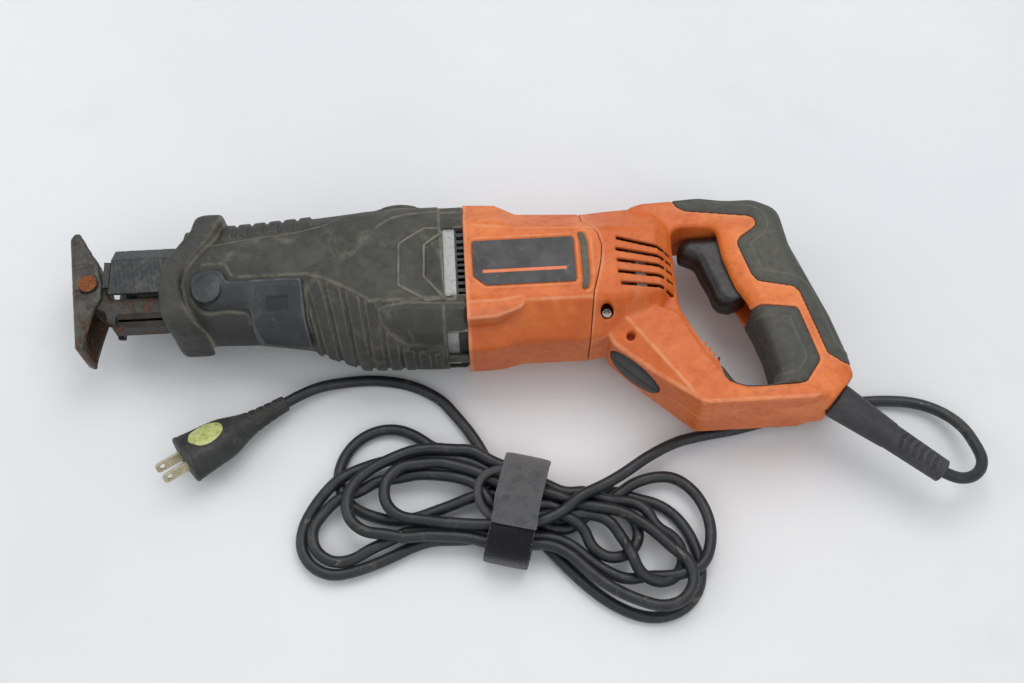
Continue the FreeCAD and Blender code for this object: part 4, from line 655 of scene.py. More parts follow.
# ------------------------------------------------------------------ cord
CORD_R = 3.5
CORD = [
    (283.5, -112.9, 30), (287.6, -115.1, 29.4), (293.11, -116.88, 28.6), (298.91, -116.51, 27.5), (304.21, -114.1, 26.1), (308.3, -110, 24.5), (310.7, -104.6, 22.6), (311, -98.8, 20.5),
    (309.6, -91, 17.9), (307.6, -82, 14.6), (301.5, -71.5, 10.2), (290.5, -62.8, 6.9), (276, -57.6, 4.7), (252, -56, 3.6), (227, -58.5, 3.6), (199, -63.5, 3.6),
    (171, -70, 3.6), (157.4, -72.5, 6.3), (145.5, -74.7, 7.7), (133.3, -77.5, 9.2), (121.9, -82.5, 10.8), (111.1, -88.5, 12.4), (100.9, -95.5, 14.2), (90.71, -101.8, 15.6),
    (79.81, -107.2, 17.6), (69.51, -111.88, 20.52), (60.03, -119.8, 19.39), (48.74, -125.22, 19.71), (36.44, -126.83, 18.59), (23.95, -125.89, 18.51), (11.45, -125.83, 18), (-0.93, -124.31, 17.7),
    (-13.34, -122.63, 17.4), (-25.51, -120.2, 17.2), (-38.1, -118.13, 17), (-46.75, -108.62, 16.89), (-46.36, -95.33, 16.62), (-37.24, -86.24, 16.71), (-24.5, -85.38, 16.5), (-12.02, -85.12, 16.3),
    (-0.04, -88.7, 16.2), (11.66, -93.28, 16.1), (21.81, -100.65, 16.1), (34.01, -103.91, 16), (45.82, -106.09, 15.59), (57.61, -110.3, 16.32), (68.59, -115.31, 13.77), (80.27, -118.5, 16.93),
    (92.58, -120.94, 15.58), (103.27, -127.44, 16.01), (112.78, -135.63, 15.9), (121.01, -144.97, 15.89), (130.73, -153.32, 16.12), (132.74, -165.79, 15.82), (125.2, -176.8, 15.65), (112.76, -179.48, 14.86),
    (100.78, -175.41, 14.7), (89.5, -169.9, 14.4), (79.21, -162.79, 14.2), (70.35, -154.37, 14.1), (61.69, -145.23, 14.1), (51.09, -138.84, 14.2), (38.49, -138, 14.1), (26.5, -136.9, 14.2),
    (14.19, -136.03, 14.2), (2.52, -131.78, 14.4), (-9.98, -130.4, 14.4), (-22.38, -129.28, 14.7), (-34.97, -130.26, 14.9), (-46.85, -127.19, 15), (-59.39, -125.34, 15.2), (-68.7, -116.52, 15.4),
    (-69.38, -103.54, 15.72), (-63.36, -93.11, 15.39), (-53.03, -85.66, 15.71), (-41.62, -80.69, 15.6), (-29.84, -76.34, 15.5), (-17.36, -75.33, 15.41), (-4.97, -77.13, 14.99), (7.43, -77.77, 15.03),
    (17.69, -85.38, 14.37), (28.61, -90.57, 14.4), (39.94, -95.86, 13.4), (50.75, -101.87, 12.62), (61.32, -108.28, 13.86), (74.23, -106.26, 11.54), (85.24, -113.62, 12.17), (97.54, -112.64, 8.15),
    (109.08, -118.67, 10.49), (113.44, -131.05, 10.5), (124.86, -137.11, 8.19), (128.91, -149.44, 7.51), (123.72, -160.92, 8.89), (112.26, -165.3, 11.89), (100.61, -159.58, 16.33), (96.76, -147.23, 19.01),
    (92.76, -136.97, 12.42), (86.05, -125.94, 14.99), (74.83, -120.58, 10.93), (62.34, -121.31, 13.94), (51.59, -113.76, 12.77), (38.62, -115.07, 15.24), (28.18, -109.71, 11.69), (17.61, -103.67, 9.71),
    (5.61, -105.75, 9.68), (-6.21, -109.65, 7.93), (-18.11, -113.34, 7.61), (-30.18, -116.79, 6.69), (-42.68, -116.95, 6), (-54.66, -113.41, 5.09), (-65.96, -107.6, 4.5), (-73.74, -98, 4.2),
    (-75.42, -85.29, 3.9), (-71.22, -73.3, 3.8), (-62.93, -63.89, 3.9), (-51.54, -58.37, 4), (-38.85, -57.92, 4.2), (-27.35, -63.1, 4.4), (-17.74, -71.11, 4.39), (-6.16, -76.41, 4.76),
    (-0.1, -87.08, 5.67), (10.68, -93.8, 5.38), (20.78, -98.62, 10.03), (28.2, -109.19, 8.08), (40.12, -111.57, 4.22), (52.84, -108.69, 8.51), (65.16, -110.12, 3.66), (76.84, -114.19, 8.2),
    (89.02, -115.11, 3.64), (100.24, -121.25, 7.35), (104.28, -134.21, 8.52), (97.9, -145.65, 8.93), (85.27, -148.81, 10.06), (74.3, -141.88, 11.09), (71.02, -129.34, 11.69), (60.93, -122.25, 15.95),
    (48.99, -119.02, 11.41), (36.76, -122.61, 13.79), (24.6, -118.41, 10.31), (15.15, -110.9, 15.86), (9.77, -99.34, 13.51), (-2.06, -94.28, 13.46), (-14.19, -91.61, 11.95), (-26.52, -90.19, 11.54),
    (-38.85, -92.23, 10.52), (-51.14, -92.7, 10.44), (-62.07, -99.24, 9.73), (-73.65, -101.62, 10.03), (-83.14, -109.98, 9.01), (-90.64, -120.12, 9.59), (-89.27, -132.93, 9.54), (-79.12, -141.25, 9.05),
    (-66.51, -140.55, 8.92), (-55.94, -134.16, 9.21), (-44.21, -129.63, 8.56), (-33.43, -124.48, 9.36), (-20.72, -124.46, 9.48), (-8.35, -125.42, 10), (4.25, -126.02, 10.73), (15.66, -130.61, 10.39),
    (28.35, -129.56, 10.8), (40.43, -132.42, 10.91), (52.63, -133.68, 10.3), (63.82, -139.29, 10.1), (72.6, -148.31, 9.7), (82.5, -155.81, 9), (93.98, -161.43, 9.31), (105.97, -159.28, 7.77),
    (117.25, -160.83, 10.5), (128.45, -159.79, 12.15), (139.74, -154.94, 10.24), (145.1, -143.26, 9.89), (146.44, -130.75, 9.7), (143.62, -118.46, 9.1), (137.31, -107.57, 8.8), (127.22, -99.66, 8.4),
    (114.52, -99.27, 8.61), (102.13, -102.42, 7.26), (92.83, -109.5, 9.44), (81.59, -113.78, 4.41), (72.77, -121.21, 7.17), (62.53, -128.53, 5.89), (49.83, -127.67, 8.04), (41.59, -118.87, 9.44),
    (41.07, -106.25, 10.72), (32.29, -97.21, 9.84), (20.5, -93.15, 10.11), (10.25, -85.96, 10.07), (-1.16, -82.04, 11.27), (-13.34, -79.87, 9.47), (-25.74, -79.19, 9.41), (-38.34, -78.88, 8.79),
    (-50.63, -80.9, 9.01), (-62.63, -84.4, 8.49), (-73.92, -89.8, 10.11), (-82.91, -97.7, 7.99), (-90.41, -107.81, 7.8), (-96.21, -119, 7.1), (-97.31, -131.5, 6.6), (-91, -142.7, 6.2),
    (-79.31, -148.31, 5.9), (-66.71, -146.6, 5.7), (-54.81, -143.1, 5.4), (-43.11, -138.6, 5.3), (-31.71, -133.4, 5.2), (-19.61, -129.89, 5.1), (-7.11, -130.41, 5.2), (5.69, -130.74, 4.61),
    (15.41, -122.37, 6.11), (28.02, -119.88, 5.9), (39.91, -125.2, 6.2), (46.6, -135.4, 4.7), (54.5, -145.1, 5.1), (62.8, -154.5, 4.5), (71.5, -163.4, 4.4), (81, -171.6, 4.1),
    (91.6, -178.3, 4), (103.3, -182.9, 3.8), (116, -183, 3.7), (127.7, -178.1, 3.6), (136, -168.4, 3.6), (138.8, -156.1, 3.6), (137.1, -143.6, 3.6), (132.81, -131.8, 3.6),
    (125.71, -121.4, 3.6), (115.52, -113.99, 3.6), (103.31, -110.72, 3.6), (92.14, -105.17, 3.6), (79.64, -105.6, 3.6), (67.04, -105.83, 4.11), (55.54, -110.53, 3.6), (44.99, -117.79, 5.29),
    (32.34, -115.92, 5.83), (22.05, -107.73, 5.7), (20, -95.58, 3.6), (16.31, -83.61, 4.34), (11.3, -72.12, 3.78), (5.09, -61.34, 3.8), (-2.03, -51.56, 3.7), (-10.99, -39.43, 3.6),
    (-29, -28.96, 3.6), (-50, -24.27, 3.6), (-72, -24.6, 3.6), (-92.2, -29.1, 6.8), (-107, -38.4, 8.6),
]
cu = bpy.data.curves.new("power_cord", "CURVE")
cu.dimensions = "3D"
cu.bevel_depth = CORD_R / 1000.0
cu.bevel_resolution = 5
cu.resolution_u = 5
cu.use_fill_caps = True
sp = cu.splines.new("NURBS")
sp.points.add(len(CORD) - 1)
for pt, p in zip(sp.points, CORD):
    pt.co = (p[0] / 1000.0, p[1] / 1000.0, p[2] / 1000.0, 1.0)
sp.order_u = 3
sp.use_endpoint_u = True
cu.materials.append(M["cord"])
cord = bpy.data.objects.new("power_cord", cu)
scene.collection.objects.link(cord)
put(cord, "housing", "cord_rubber", "cord_lead", "cord_tail", "cord_hank")

# ------------------------------------------------------------------ nose boot: rubber cover over the gear case
FL_OUT = [(-141.5, 70.8, 5), (-151, 71.6, 8), (-155.5, 65.0, 7), (-157.2, 55, 9), (-165.5, 43.5, 10), (-173.2, 32, 12), (-174.8, 16, 14), (-173.4, 0.5, 12), (-168.0, -8.5, 9), (-160.0, -14.0, 6), (-152.5, -15.0, 4), (-147.0, -13.0, 3)]
FL_IN = [(-145.5, -10, 3), (-153.5, -3.5, 6), (-159.5, 6.5, 8), (-162.5, 20, 9), (-160, 30, 8), (-151.5, 41, 8), (-145.0, 50, 6), (-140.0, 62, 4), (-139, 70, 2)]
LEVER = arc_poly([(-157.0, 15, 10.5), (-155.5, 27.5, 10.5), (-137, 28.0, 9), (-133.8, 19.6, 4), (-119.5, 18.8, 6), (-88.5, 16.6, 3), (-87.3, -6, 8), (-84.2, -22, 4), (-94, -21.5, 4), (-113, -16.5, 6), (-120, -9, 5), (-121, 2, 4), (-134, 3.8, 6), (-150, 2.8, 10.5)])
SIDE = [(-158, 44.5), (-142.8, 46.0), (-124.7, 48.6), (-94, 49.4), (-77.4, 52.0), (-61, 61.0), (-48, 64.5), (-20, 66), (-6, 66), (-6, 50), (-4, -3.0), (-24, -3.0), (-48.5, -2.2), (-62, 6.6), (-76, 14.6), (-86, 18.6), (-131, 22.0), (-136, 31.0), (-158, 32)]
OCT_A = [(-30.9, 32.1), (-14.7, 43.3), (-5.2, 42.7), (-3.9, 39), (-3.6, -4.6), (-15.2, -5), (-31.6, 4.5)]
OCT_B = [(-15.1, 30), (-3.9, 38.6), (2, 38.6), (2, -4), (-4.4, -4), (-15.8, 9.2)]
POD = [(-45, -6.5, 4), (-27.5, -4.6, 5), (10, -7.0), (10, -27), (-16.5, -26.5, 6), (-30, -24.5, 6), (-41, -16, 6)]


def boot_body(X, Y, Z, R=8.0):
    return section(X, Y, Z, [(-166,) + BOOT[0][1:]] + BOOT[1:], R)


def sweep(X, Y):
    """Height above the curved line that climbs from the side panel to the dial."""
    return Y - np.interp(X, [-60, -46, -42.3, -35.3, -26.4, -16.4, -8, 10], [38.0, 43.0, 46.4, 52.6, 56.2, 57.6, 58.2, 58.4])


def rib_zone(X, Y, az, side, XY=None):
    lean = 0.24 * np.clip((-20 - X) / 65.0, 0, 1)
    xr = X + lean * (Y + 17.0)
    ph = ((xr + 83.2 + 0.5 * 9.43 + 1.0) / 9.43) % 1.0
    P = arc_poly(POD)
    pod = poly(P, *XY)[:, :, None] if XY is not None else poly(P, X, Y)
    rm = ss(side, 0.6, 2.0) * (1 - ss(Y, 17.0, 20.0)) * ss(X, -85.5, -84.0) * (1 - ss(X, -9.0, -7.5)) * ss(pod, 0.8, 2.2)
    return rm, ph, pod


def boot_marks():
    SD, OA, OB = arc_poly([(p[0], p[1], 3) for p in SIDE]), OCT_A, OCT_B
    PD_ = arc_poly(POD)
    FI = arc_poly(FL_OUT + FL_IN)
    TUBE = arc_poly([(-156, 9, 3), (-150, 2.5, 3), (-134, 3.6, 2), (-121.5, 2.4, 2), (-119, -10, 3), (-112, -17.5, 2), (-90, -22.5), (-86, -60), (-156, -60)])

    def line(x, y, z):
        az = np.abs(z - ZM)
        side = poly(SD, x, y)
        rm, ph, pod = rib_zone(x, y, az, side)
        rm = rm * np.where(z > ZM, ss(poly(LEVER, x, y), 1.6, 3.0), 1.0)
        up = ss(az, 14, 20)
        fl = poly(FI, x, y)
        inner = np.exp(-((fl + 0.1) / 1.1) ** 2) * (x > -163) * ss(x, -163, -158)
        # pale lines along the moulded edges, the flange's inner rim and the lever's edge: painted highlight
        v = 0.85 * np.exp(-((side + 0.2) / 0.65) ** 2) * up * (x > -150)
        v = np.maximum(v, 0.95 * np.exp(-((poly(OA, x, y) + 0.6) / 0.55) ** 2) * up)
        v = np.maximum(v, 1.15 * np.exp(-(poly(OB, x, y) / 0.7) ** 2) * up)
        v = np.maximum(v, 0.55 * np.exp(-((pod + 0.2) / 0.7) ** 2) * up)
        v = np.maximum(v, 0.62 * np.exp(-((np.abs(ph - 0.5) - 0.345) / 0.045) ** 2) * rm)
        v = np.maximum(v, 0.55 * np.exp(-(sweep(x, y) / 0.8) ** 2) * (x > -44) * up * (y > 40))
        v = np.maximum(v, 0.75 * inner)
        v = np.maximum(v, 0.5 * np.exp(-((x + 5.2) / 0.9) ** 2) * up * (y < -6))
        lv = poly(LEVER, x, y)
        v = np.maximum(v, 0.45 * np.exp(-((lv - 1.2) / 0.8) ** 2) * (z > ZM + 14) * (y < 12))
        return v

    def tone(x, y, z):
        az = np.abs(z - ZM)
        side = poly(SD, x, y)
        rm, ph, pod = rib_zone(x, y, az, side)
        t = 0.45 * rm
        t = np.maximum(t, 0.85 * (1 - ss(poly(TUBE, x, y), -1.5, 0.5)))
        t = np.maximum(t, 0.35 * (1 - ss(pod, -1, 1)))
        t = np.maximum(t, 0.45 * ss(y, 50.5, 53) * ss(side, 0.5, 2.0) * (x < -80))
        return t
    return {"line": line, "tone": tone}


def make_boot():
    h = 0.78
    X, Y, Z, org = grid((-180, -33, -2), (10, 76, 78), h)
    XY = (X[:, :, 0], Y[:, :, 0])
    az = np.abs(Z - ZM)
    base = boot_body(X, Y, Z)
    d = base.copy()
    lev = poly(LEVER, *XY)[:, :, None]
    side = poly(arc_poly([(p[0], p[1], 3) for p in SIDE]), *XY)[:, :, None]
    near = ss(az, 10, 18)
    d -= 1.3 * (1 - ss(side, -0.9, 0.5)) * near * ss(X, -158, -150)
    # rounded bosses along the top edge
    for xc in (-136.8, -127.3, -117.8, -108.3, -98.8, -89.3):
        m = (1 - ss(np.abs(X - xc), 2.7, 4.2)) * ss(Y, 50.5, 52.5) * ss(side, 1.0, 2.2) * ss(az, 1.5, 3.5)
        d -= 1.9 * m
    # ribbed grip under the nose
    rm, ph, pod = rib_zone(X, Y, az, side, XY=XY)
    rm = rm * np.where(Z > ZM, ss(lev, 1.6, 3.0), 1.0)
    rib = 1 - ss(np.abs(ph - 0.5), 0.31, 0.41)
    d -= (2.3 * rib - 0.5) * rm
    # smooth pod at the lower rear, eight-sided panel with a sunk middle
    d -= 2.9 * (1 - ss(pod, -4.5, 0.4)) * ss(az, 8, 14) + 0.9 * (1 - ss(pod, -0.5, 0.4)) * near
    oa = poly(OCT_A, *XY)[:, :, None]
    ob = poly(OCT_B, *XY)[:, :, None]
    flat = near * (oa < 3)
    d -= (0.5 * (1 - ss(oa, -0.7, 0.4)) + 1.1 * np.exp(-((oa + 0.6) / 0.75) ** 2) + 1.5 * np.exp(-(ob / 0.9) ** 2) * (oa < 0.5) - 1.5 * (1 - ss(ob, -1.4, -0.2))) * flat
    # long hollow inside the panel's left part
    pit = boxd(X, Y, Z, -27.5, -19.5, 3.0, 33.0, -100, 200, 4.0)
    d += 0.5 * (1 - ss(pit, -1.5, 1.0)) * near
    # sweep that rises towards the dial
    sw = sweep(X, Y)
    d -= (1.5 * ss(sw, -0.2, 1.6) * (1 - ss(sw, 2.0, 12.0)) + 0.5 * np.exp(-(sw / 0.8) ** 2)) * ss(X, -48, -40) * near * (Y > 40)
    dr = np.sqrt((X + 31) ** 2 + (Z - ZM) ** 2)
    ring = np.maximum(dr - 22.6, np.maximum(55 - Y, Y - 68.0))
    d = smin(d, ring, 3.0)
    # seams cut round the nose tube
    d += 0.55 * np.exp(-((X + 84.0) / 0.6) ** 2) * (Y < 17) * ss(side, 0.0, 1.0)
    # front collar
    fl = poly(arc_poly(FL_OUT + FL_IN), *XY)[:, :, None]
    ry = boxd(X, Y, Z, -400, 400, -9.5, 70.5, ZM - 29, ZM + 29, 15.0)
    col = smax(fl, ry, 3.5)
    body = np.maximum(d, -164.0 - X)
    d = smin(body, col, 2.6)
    d = np.maximum(d, X - 8.3)
    # inside: nose opening, cavity, windows, dial hole
    void = section(X, Y, Z, [(-170,) + BOOT[0][1:]] + BOOT[1:], 8.0) + 3.2
    void = np.maximum(void, -157.9 - X)
    nose = np.maximum(boxd(X, Y, Z, -190, -150, -4.5, 58, 15, 61, 7.0), base + 1.9)
    d = smax(d, -np.minimum(void, nose), 0.8)
    win = boxd(X, Y, az, -4, 12, -1.5, 43, 12, 60, 1.0)
    d = smax(d, -win, 0.6)
    low = boxd(X, Y, az, -4, 12, -60, -16, 4, 27, 1.0)
    d = smax(d, -low, 0.6)
    d = smax(d, -np.maximum(dr - 20.6, 55 - Y), 0.6)
    # clear of the lever through its whole turn
    turn = np.sqrt((X + 146) ** 2 + (Y - 14) ** 2)
    hd = np.maximum(np.minimum(poly(LEVER, *XY)[:, :, None] - 0.7, turn - 12.4), np.maximum(turn - 16.6, -base))
    d = np.maximum(d, -np.maximum(hd, 50.0 - Z))
    d = np.maximum(d, 0.2 - Z)
    return build("nose_boot_rubber", d, org, h, M["boot"], smooth=1, gain=1.0, marks=boot_marks())


# ------------------------------------------------------------------ release lever
def make_lever():
    h = 0.5
    X, Y, Z, org = grid((-159, -25, 40), (-81, 30, 75), h)
    XY = (X[:, :, 0], Y[:, :, 0])
    lev = poly(LEVER, *XY)[:, :, None]
    base = boot_body(X, Y, Z)
    outer = smax(base - 4.4, Z - 73.4, 2.5)
    head = np.sqrt((X + 146) ** 2 + (Y - 15.5) ** 2)
    # round head stands highest; the arm is rolled like a bar; the wide part carries a raised pad and a dark window
    outer = outer + 1.1 * ss(head, 10.5, 13.5) * (1 - ss(X, -124, -117))
    outer = outer + 0.6 * np.exp(-((Y - 4.2) / 1.2) ** 2) * (X < -121)
    padl = poly(arc_poly([(-121, -6, 4), (-118, 15.5, 3), (-91.5, 13.2, 3), (-90.0, -16, 3), (-111, -13, 4)]), *XY)[:, :, None]
    outer = outer - 0.5 * (1 - ss(padl, -1.2, 0.4)) + 0.5
    win = poly([(-110.8, -1.0), (-110.6, 7.4), (-97.2, 6.6), (-97.0, -1.4)], *XY)[:, :, None]
    outer = outer + 1.3 * (1 - ss(win, -0.7, 0.3))
    st = np.exp(-((X + 88.9 + 0.0 * Y) / 0.7) ** 2)
    outer = outer + 0.5 * st
    d = ext2(lev, outer, 2.2)
    d = np.maximum(d, -(base - 0.45))
    hr = np.sqrt((X + 146) ** 2 + (Y - 14) ** 2)
    dome = np.maximum(np.maximum(hr - 8.5, Z - (67.00 + 0.7 - 0.016 * hr ** 2)), 62.0 - Z)
    d = smin(d, dome, 2.2)
    hub = np.maximum(hr - 3.1, np.maximum(Z - 67.00 - 0.05, 38 - Z))
    d = np.maximum(d, -hub)
    d = np.maximum(d, 42.0 - Z)
    cap = np.maximum(head - 9.0, np.maximum(70.6 - Z, Z - 73.0))

    def tone(x, y, z):
        w = poly([(-110.8, -1.0), (-110.6, 7.4), (-97.2, 6.6), (-97.0, -1.4)], x, y)
        # the window is dark in its own colour; the darker lower part is painted shade
        return np.maximum(0.95 * (1 - ss(w, -0.6, 0.1)), 0.5 * (1 - ss(y, -16, -2)))

    def line(x, y, z):
        l = poly(LEVER, x, y)
        # pale line just inside the lever's edge: painted highlight
        return 0.45 * np.exp(-((l + 1.1) / 0.6) ** 2) * (x > -121)
    return build("release_lever_cover", d, org, h, M["lever"], smooth=1, marks={"tone": tone, "line": line})


def ext2(a, b, r):
    u, v = a + r, b + r
    return np.sqrt(np.maximum(u, 0) ** 2 + np.maximum(v, 0) ** 2) - r + np.minimum(np.maximum(u, v), 0)


# ------------------------------------------------------------------ motor housing
def split_x(Y):
    return np.interp(Y, [-44, -29.5, -5.2, 5.5, 16, 25.5, 33.8, 46.5, 60], [76.0, 80.3, 83.4, 86.6, 89.2, 90.4, 88.6, 80.6, 79.6])


STRIP = arc_poly([(76.6, 35.5, 1), (80.4, 33.8, 1), (81.8, 28.5, 1), (81.8, 5.5, 1), (80.4, -2, 1), (76.6, -4, 1), (78.2, 4, 4), (78.2, 27, 4)])
PLATE = arc_poly([(13.2, 32, 2), (73.8, 32, 2), (73.8, 2.2, 2), (20.5, 2.2, 2), (13.2, 9, 2)])
TONGUE = arc_poly([(0, -6.5), (27, -6.5, 3), (45.5, -4.5, 3), (41, -13.0, 6), (26, -18.5, 8), (0, -19.5)])


def make_motor():
    h = 0.85
    X, Y, Z, org = grid((6, -33, -2), (93, 73, 78), h)
    XY = (X[:, :, 0], Y[:, :, 0])
    az = np.abs(Z - ZM)
    d = section(X, Y, Z, MOTOR, 2.0)
    plate = poly(PLATE, *XY)[:, :, None]
    strip = poly(STRIP, *XY)[:, :, None]
    flat = ss(az, 30, 34)
    # moulded line round the name plate and beside the strip
    d -= 0.45 * np.exp(-((plate - 1.8) / 0.7) ** 2) * flat
    d -= 0.45 * np.exp(-((strip - 2.6) / 0.8) ** 2) * flat * (X > 79)
    tg = poly(TONGUE, *XY)[:, :, None]
    tongue = ext2(tg, az - 37.4, 1.6)
    d = smin(d, np.maximum(tongue, -d - 30), 0.9)
    void = section(X, Y, Z, MOTOR, 2.0) + 3.0
    d = smax(d, -void, 0.5)
    d = np.maximum(d, 8.3 - X)
    d = np.maximum(d, X - split_x(Y) + 0.0)
    d = np.maximum(d, -np.maximum(plate - 0.2, 37.35 - az))
    d = np.maximum(d, -np.maximum(strip - 0.2, 37.15 - az))
    tgp = TONGUE

    def line(x, y, z):
        a = np.abs(z - ZM)
        # pale lines on the lower crease, the top edge, the front edge and round the plate, strip and tongue: painted
        # highlight
        v = 0.75 * np.exp(-((y + 8.0) / 0.8) ** 2) * (a > 34) * (x > 42)
        v = np.maximum(v, 0.6 * np.exp(-((y - np.interp(x, [8.3, 41, 82], [44, 40, 38])) / 0.8) ** 2) * (a > 34))
        v = np.maximum(v, 0.8 * np.exp(-((x - 9.4) / 0.9) ** 2))
        v = np.maximum(v, 0.5 * np.exp(-((poly(PLATE, x, y) - 1.8) / 0.6) ** 2) * (a > 36))
        v = np.maximum(v, 0.6 * np.exp(-((poly(STRIP, x, y) - 2.6) / 0.7) ** 2) * (a > 36) * (x > 79))
        v = np.maximum(v, 0.7 * np.exp(-((poly(tgp, x, y) + 0.9) / 0.8) ** 2) * (a > 30) * (x > 10))
        return v

    def tone(x, y, z):
        # darker on the lower face below the crease: painted shade; darker beside the tongue's underside: painted shadow
        return 0.35 * (1 - ss(y, -20, -8)) + 0.25 * (1 - ss(poly(tgp, x, y), 0, 3)) * (y < -12)
    return build("motor_housing_shell", d, org, h, M["orange"], smooth=1, marks={"line": line, "tone": tone})


# ------------------------------------------------------------------ handle
FRAME = arc_poly([(112, 61), (120, 63.2), (143.5, 64), (156, 64.8), (190, 64.8, 18), (205.0, 57, 14), (206.8, 44, 12), (208.5, 32, 25), (226, -18, 40), (232.7, -44, 12), (234.75, -57, 4), (219, -73.6, 4), (206, -74, 4), (143, -74, 9), (116, -51.5, 14), (94, -30.5, 6), (90, -20, 3), (112, 0, 10)])
OPEN = arc_poly([(135.5, 44, 7), (135.5, -9, 28), (148, -34, 30), (163.5, -58.5, 8), (171, -61, 6), (185.5, -61, 6), (189.5, -54, 7), (187, -36, 25), (182, -19, 25), (176.5, -5, 5), (171.5, 4, 6), (166, 24, 10), (164, 44, 4)])
BASE = arc_poly([(92, -27, 4), (98, -8, 6), (118, -8, 8), (133.5, -14, 10), (145, -38, 20), (159.5, -61.5, 8), (168, -65, 5), (204, -65, 4), (215, -71, 3), (206, -74, 3), (143, -74, 9), (116, -51.5, 14), (95, -31.5, 6)])
ZONE1 = arc_poly([(136, 80), (138.5, 63, 3), (141, 58.5, 3), (146, 55.5, 4), (184.4, 50.2, 3), (188.2, 48, 2), (188.6, 42.9, 3), (177.7, 35.5, 4), (175.3, 31.5, 4), (181.4, 10.2, 5), (184.6, 5.2, 4), (205.7, 0.4, 3), (208.9, -3.5, 4), (219.6, -44.6, 4), (227.5, -50.5, 3), (245, -51.5), (245, 80)])
ZONE2 = arc_poly([(166, -10), (177.4, -11.3, 3), (184.4, -10.6, 4), (205.6, -13.6, 3), (207, -17.5, 4), (214.6, -48.4, 6), (204.6, -61.6, 3), (200, -62.6, 3), (184, -62.8, 3), (170, -62.8, 3), (158, -58), (152, -30)])
VENTS = [((100.7, 30.9), (127.6, 25.2)), ((99.7, 23.5), (127.2, 19.2)), ((99.9, 16.2), (126.8, 13.0)), ((100.1, 8.7), (126.2, 6.3)), ((101.2, 0.9), (125.4, -0.6))]
VENTS2 = [((129.9, 24.2), (131.8, 23.4)), ((129.9, 18.4), (132.2, 17.6)), ((129.6, 12.2), (132.4, 11.4)), ((129.2, 5.6), (132.4, 4.9)), ((128.4, -1.2), (132.0, -2.0))]
FAR_SCREWS = [(103, -28), (106, 50), (150, 55.5), (197, 50), (221, -33), (150, -66.5), (200, -69)]
RB = np.array([225.8, -67.8, 38.0])
RT = np.array([283.5, -112.9, 30.0])
RD = (RT - RB) / np.linalg.norm(RT - RB)


def seg(X, Y, a, b):
    ex, ey = b[0] - a[0], b[1] - a[1]
    t = np.clip(((X - a[0]) * ex + (Y - a[1]) * ey) / (ex * ex + ey * ey), 0, 1)
    return np.sqrt((X - a[0] - ex * t) ** 2 + (Y - a[1] - ey * t) ** 2)


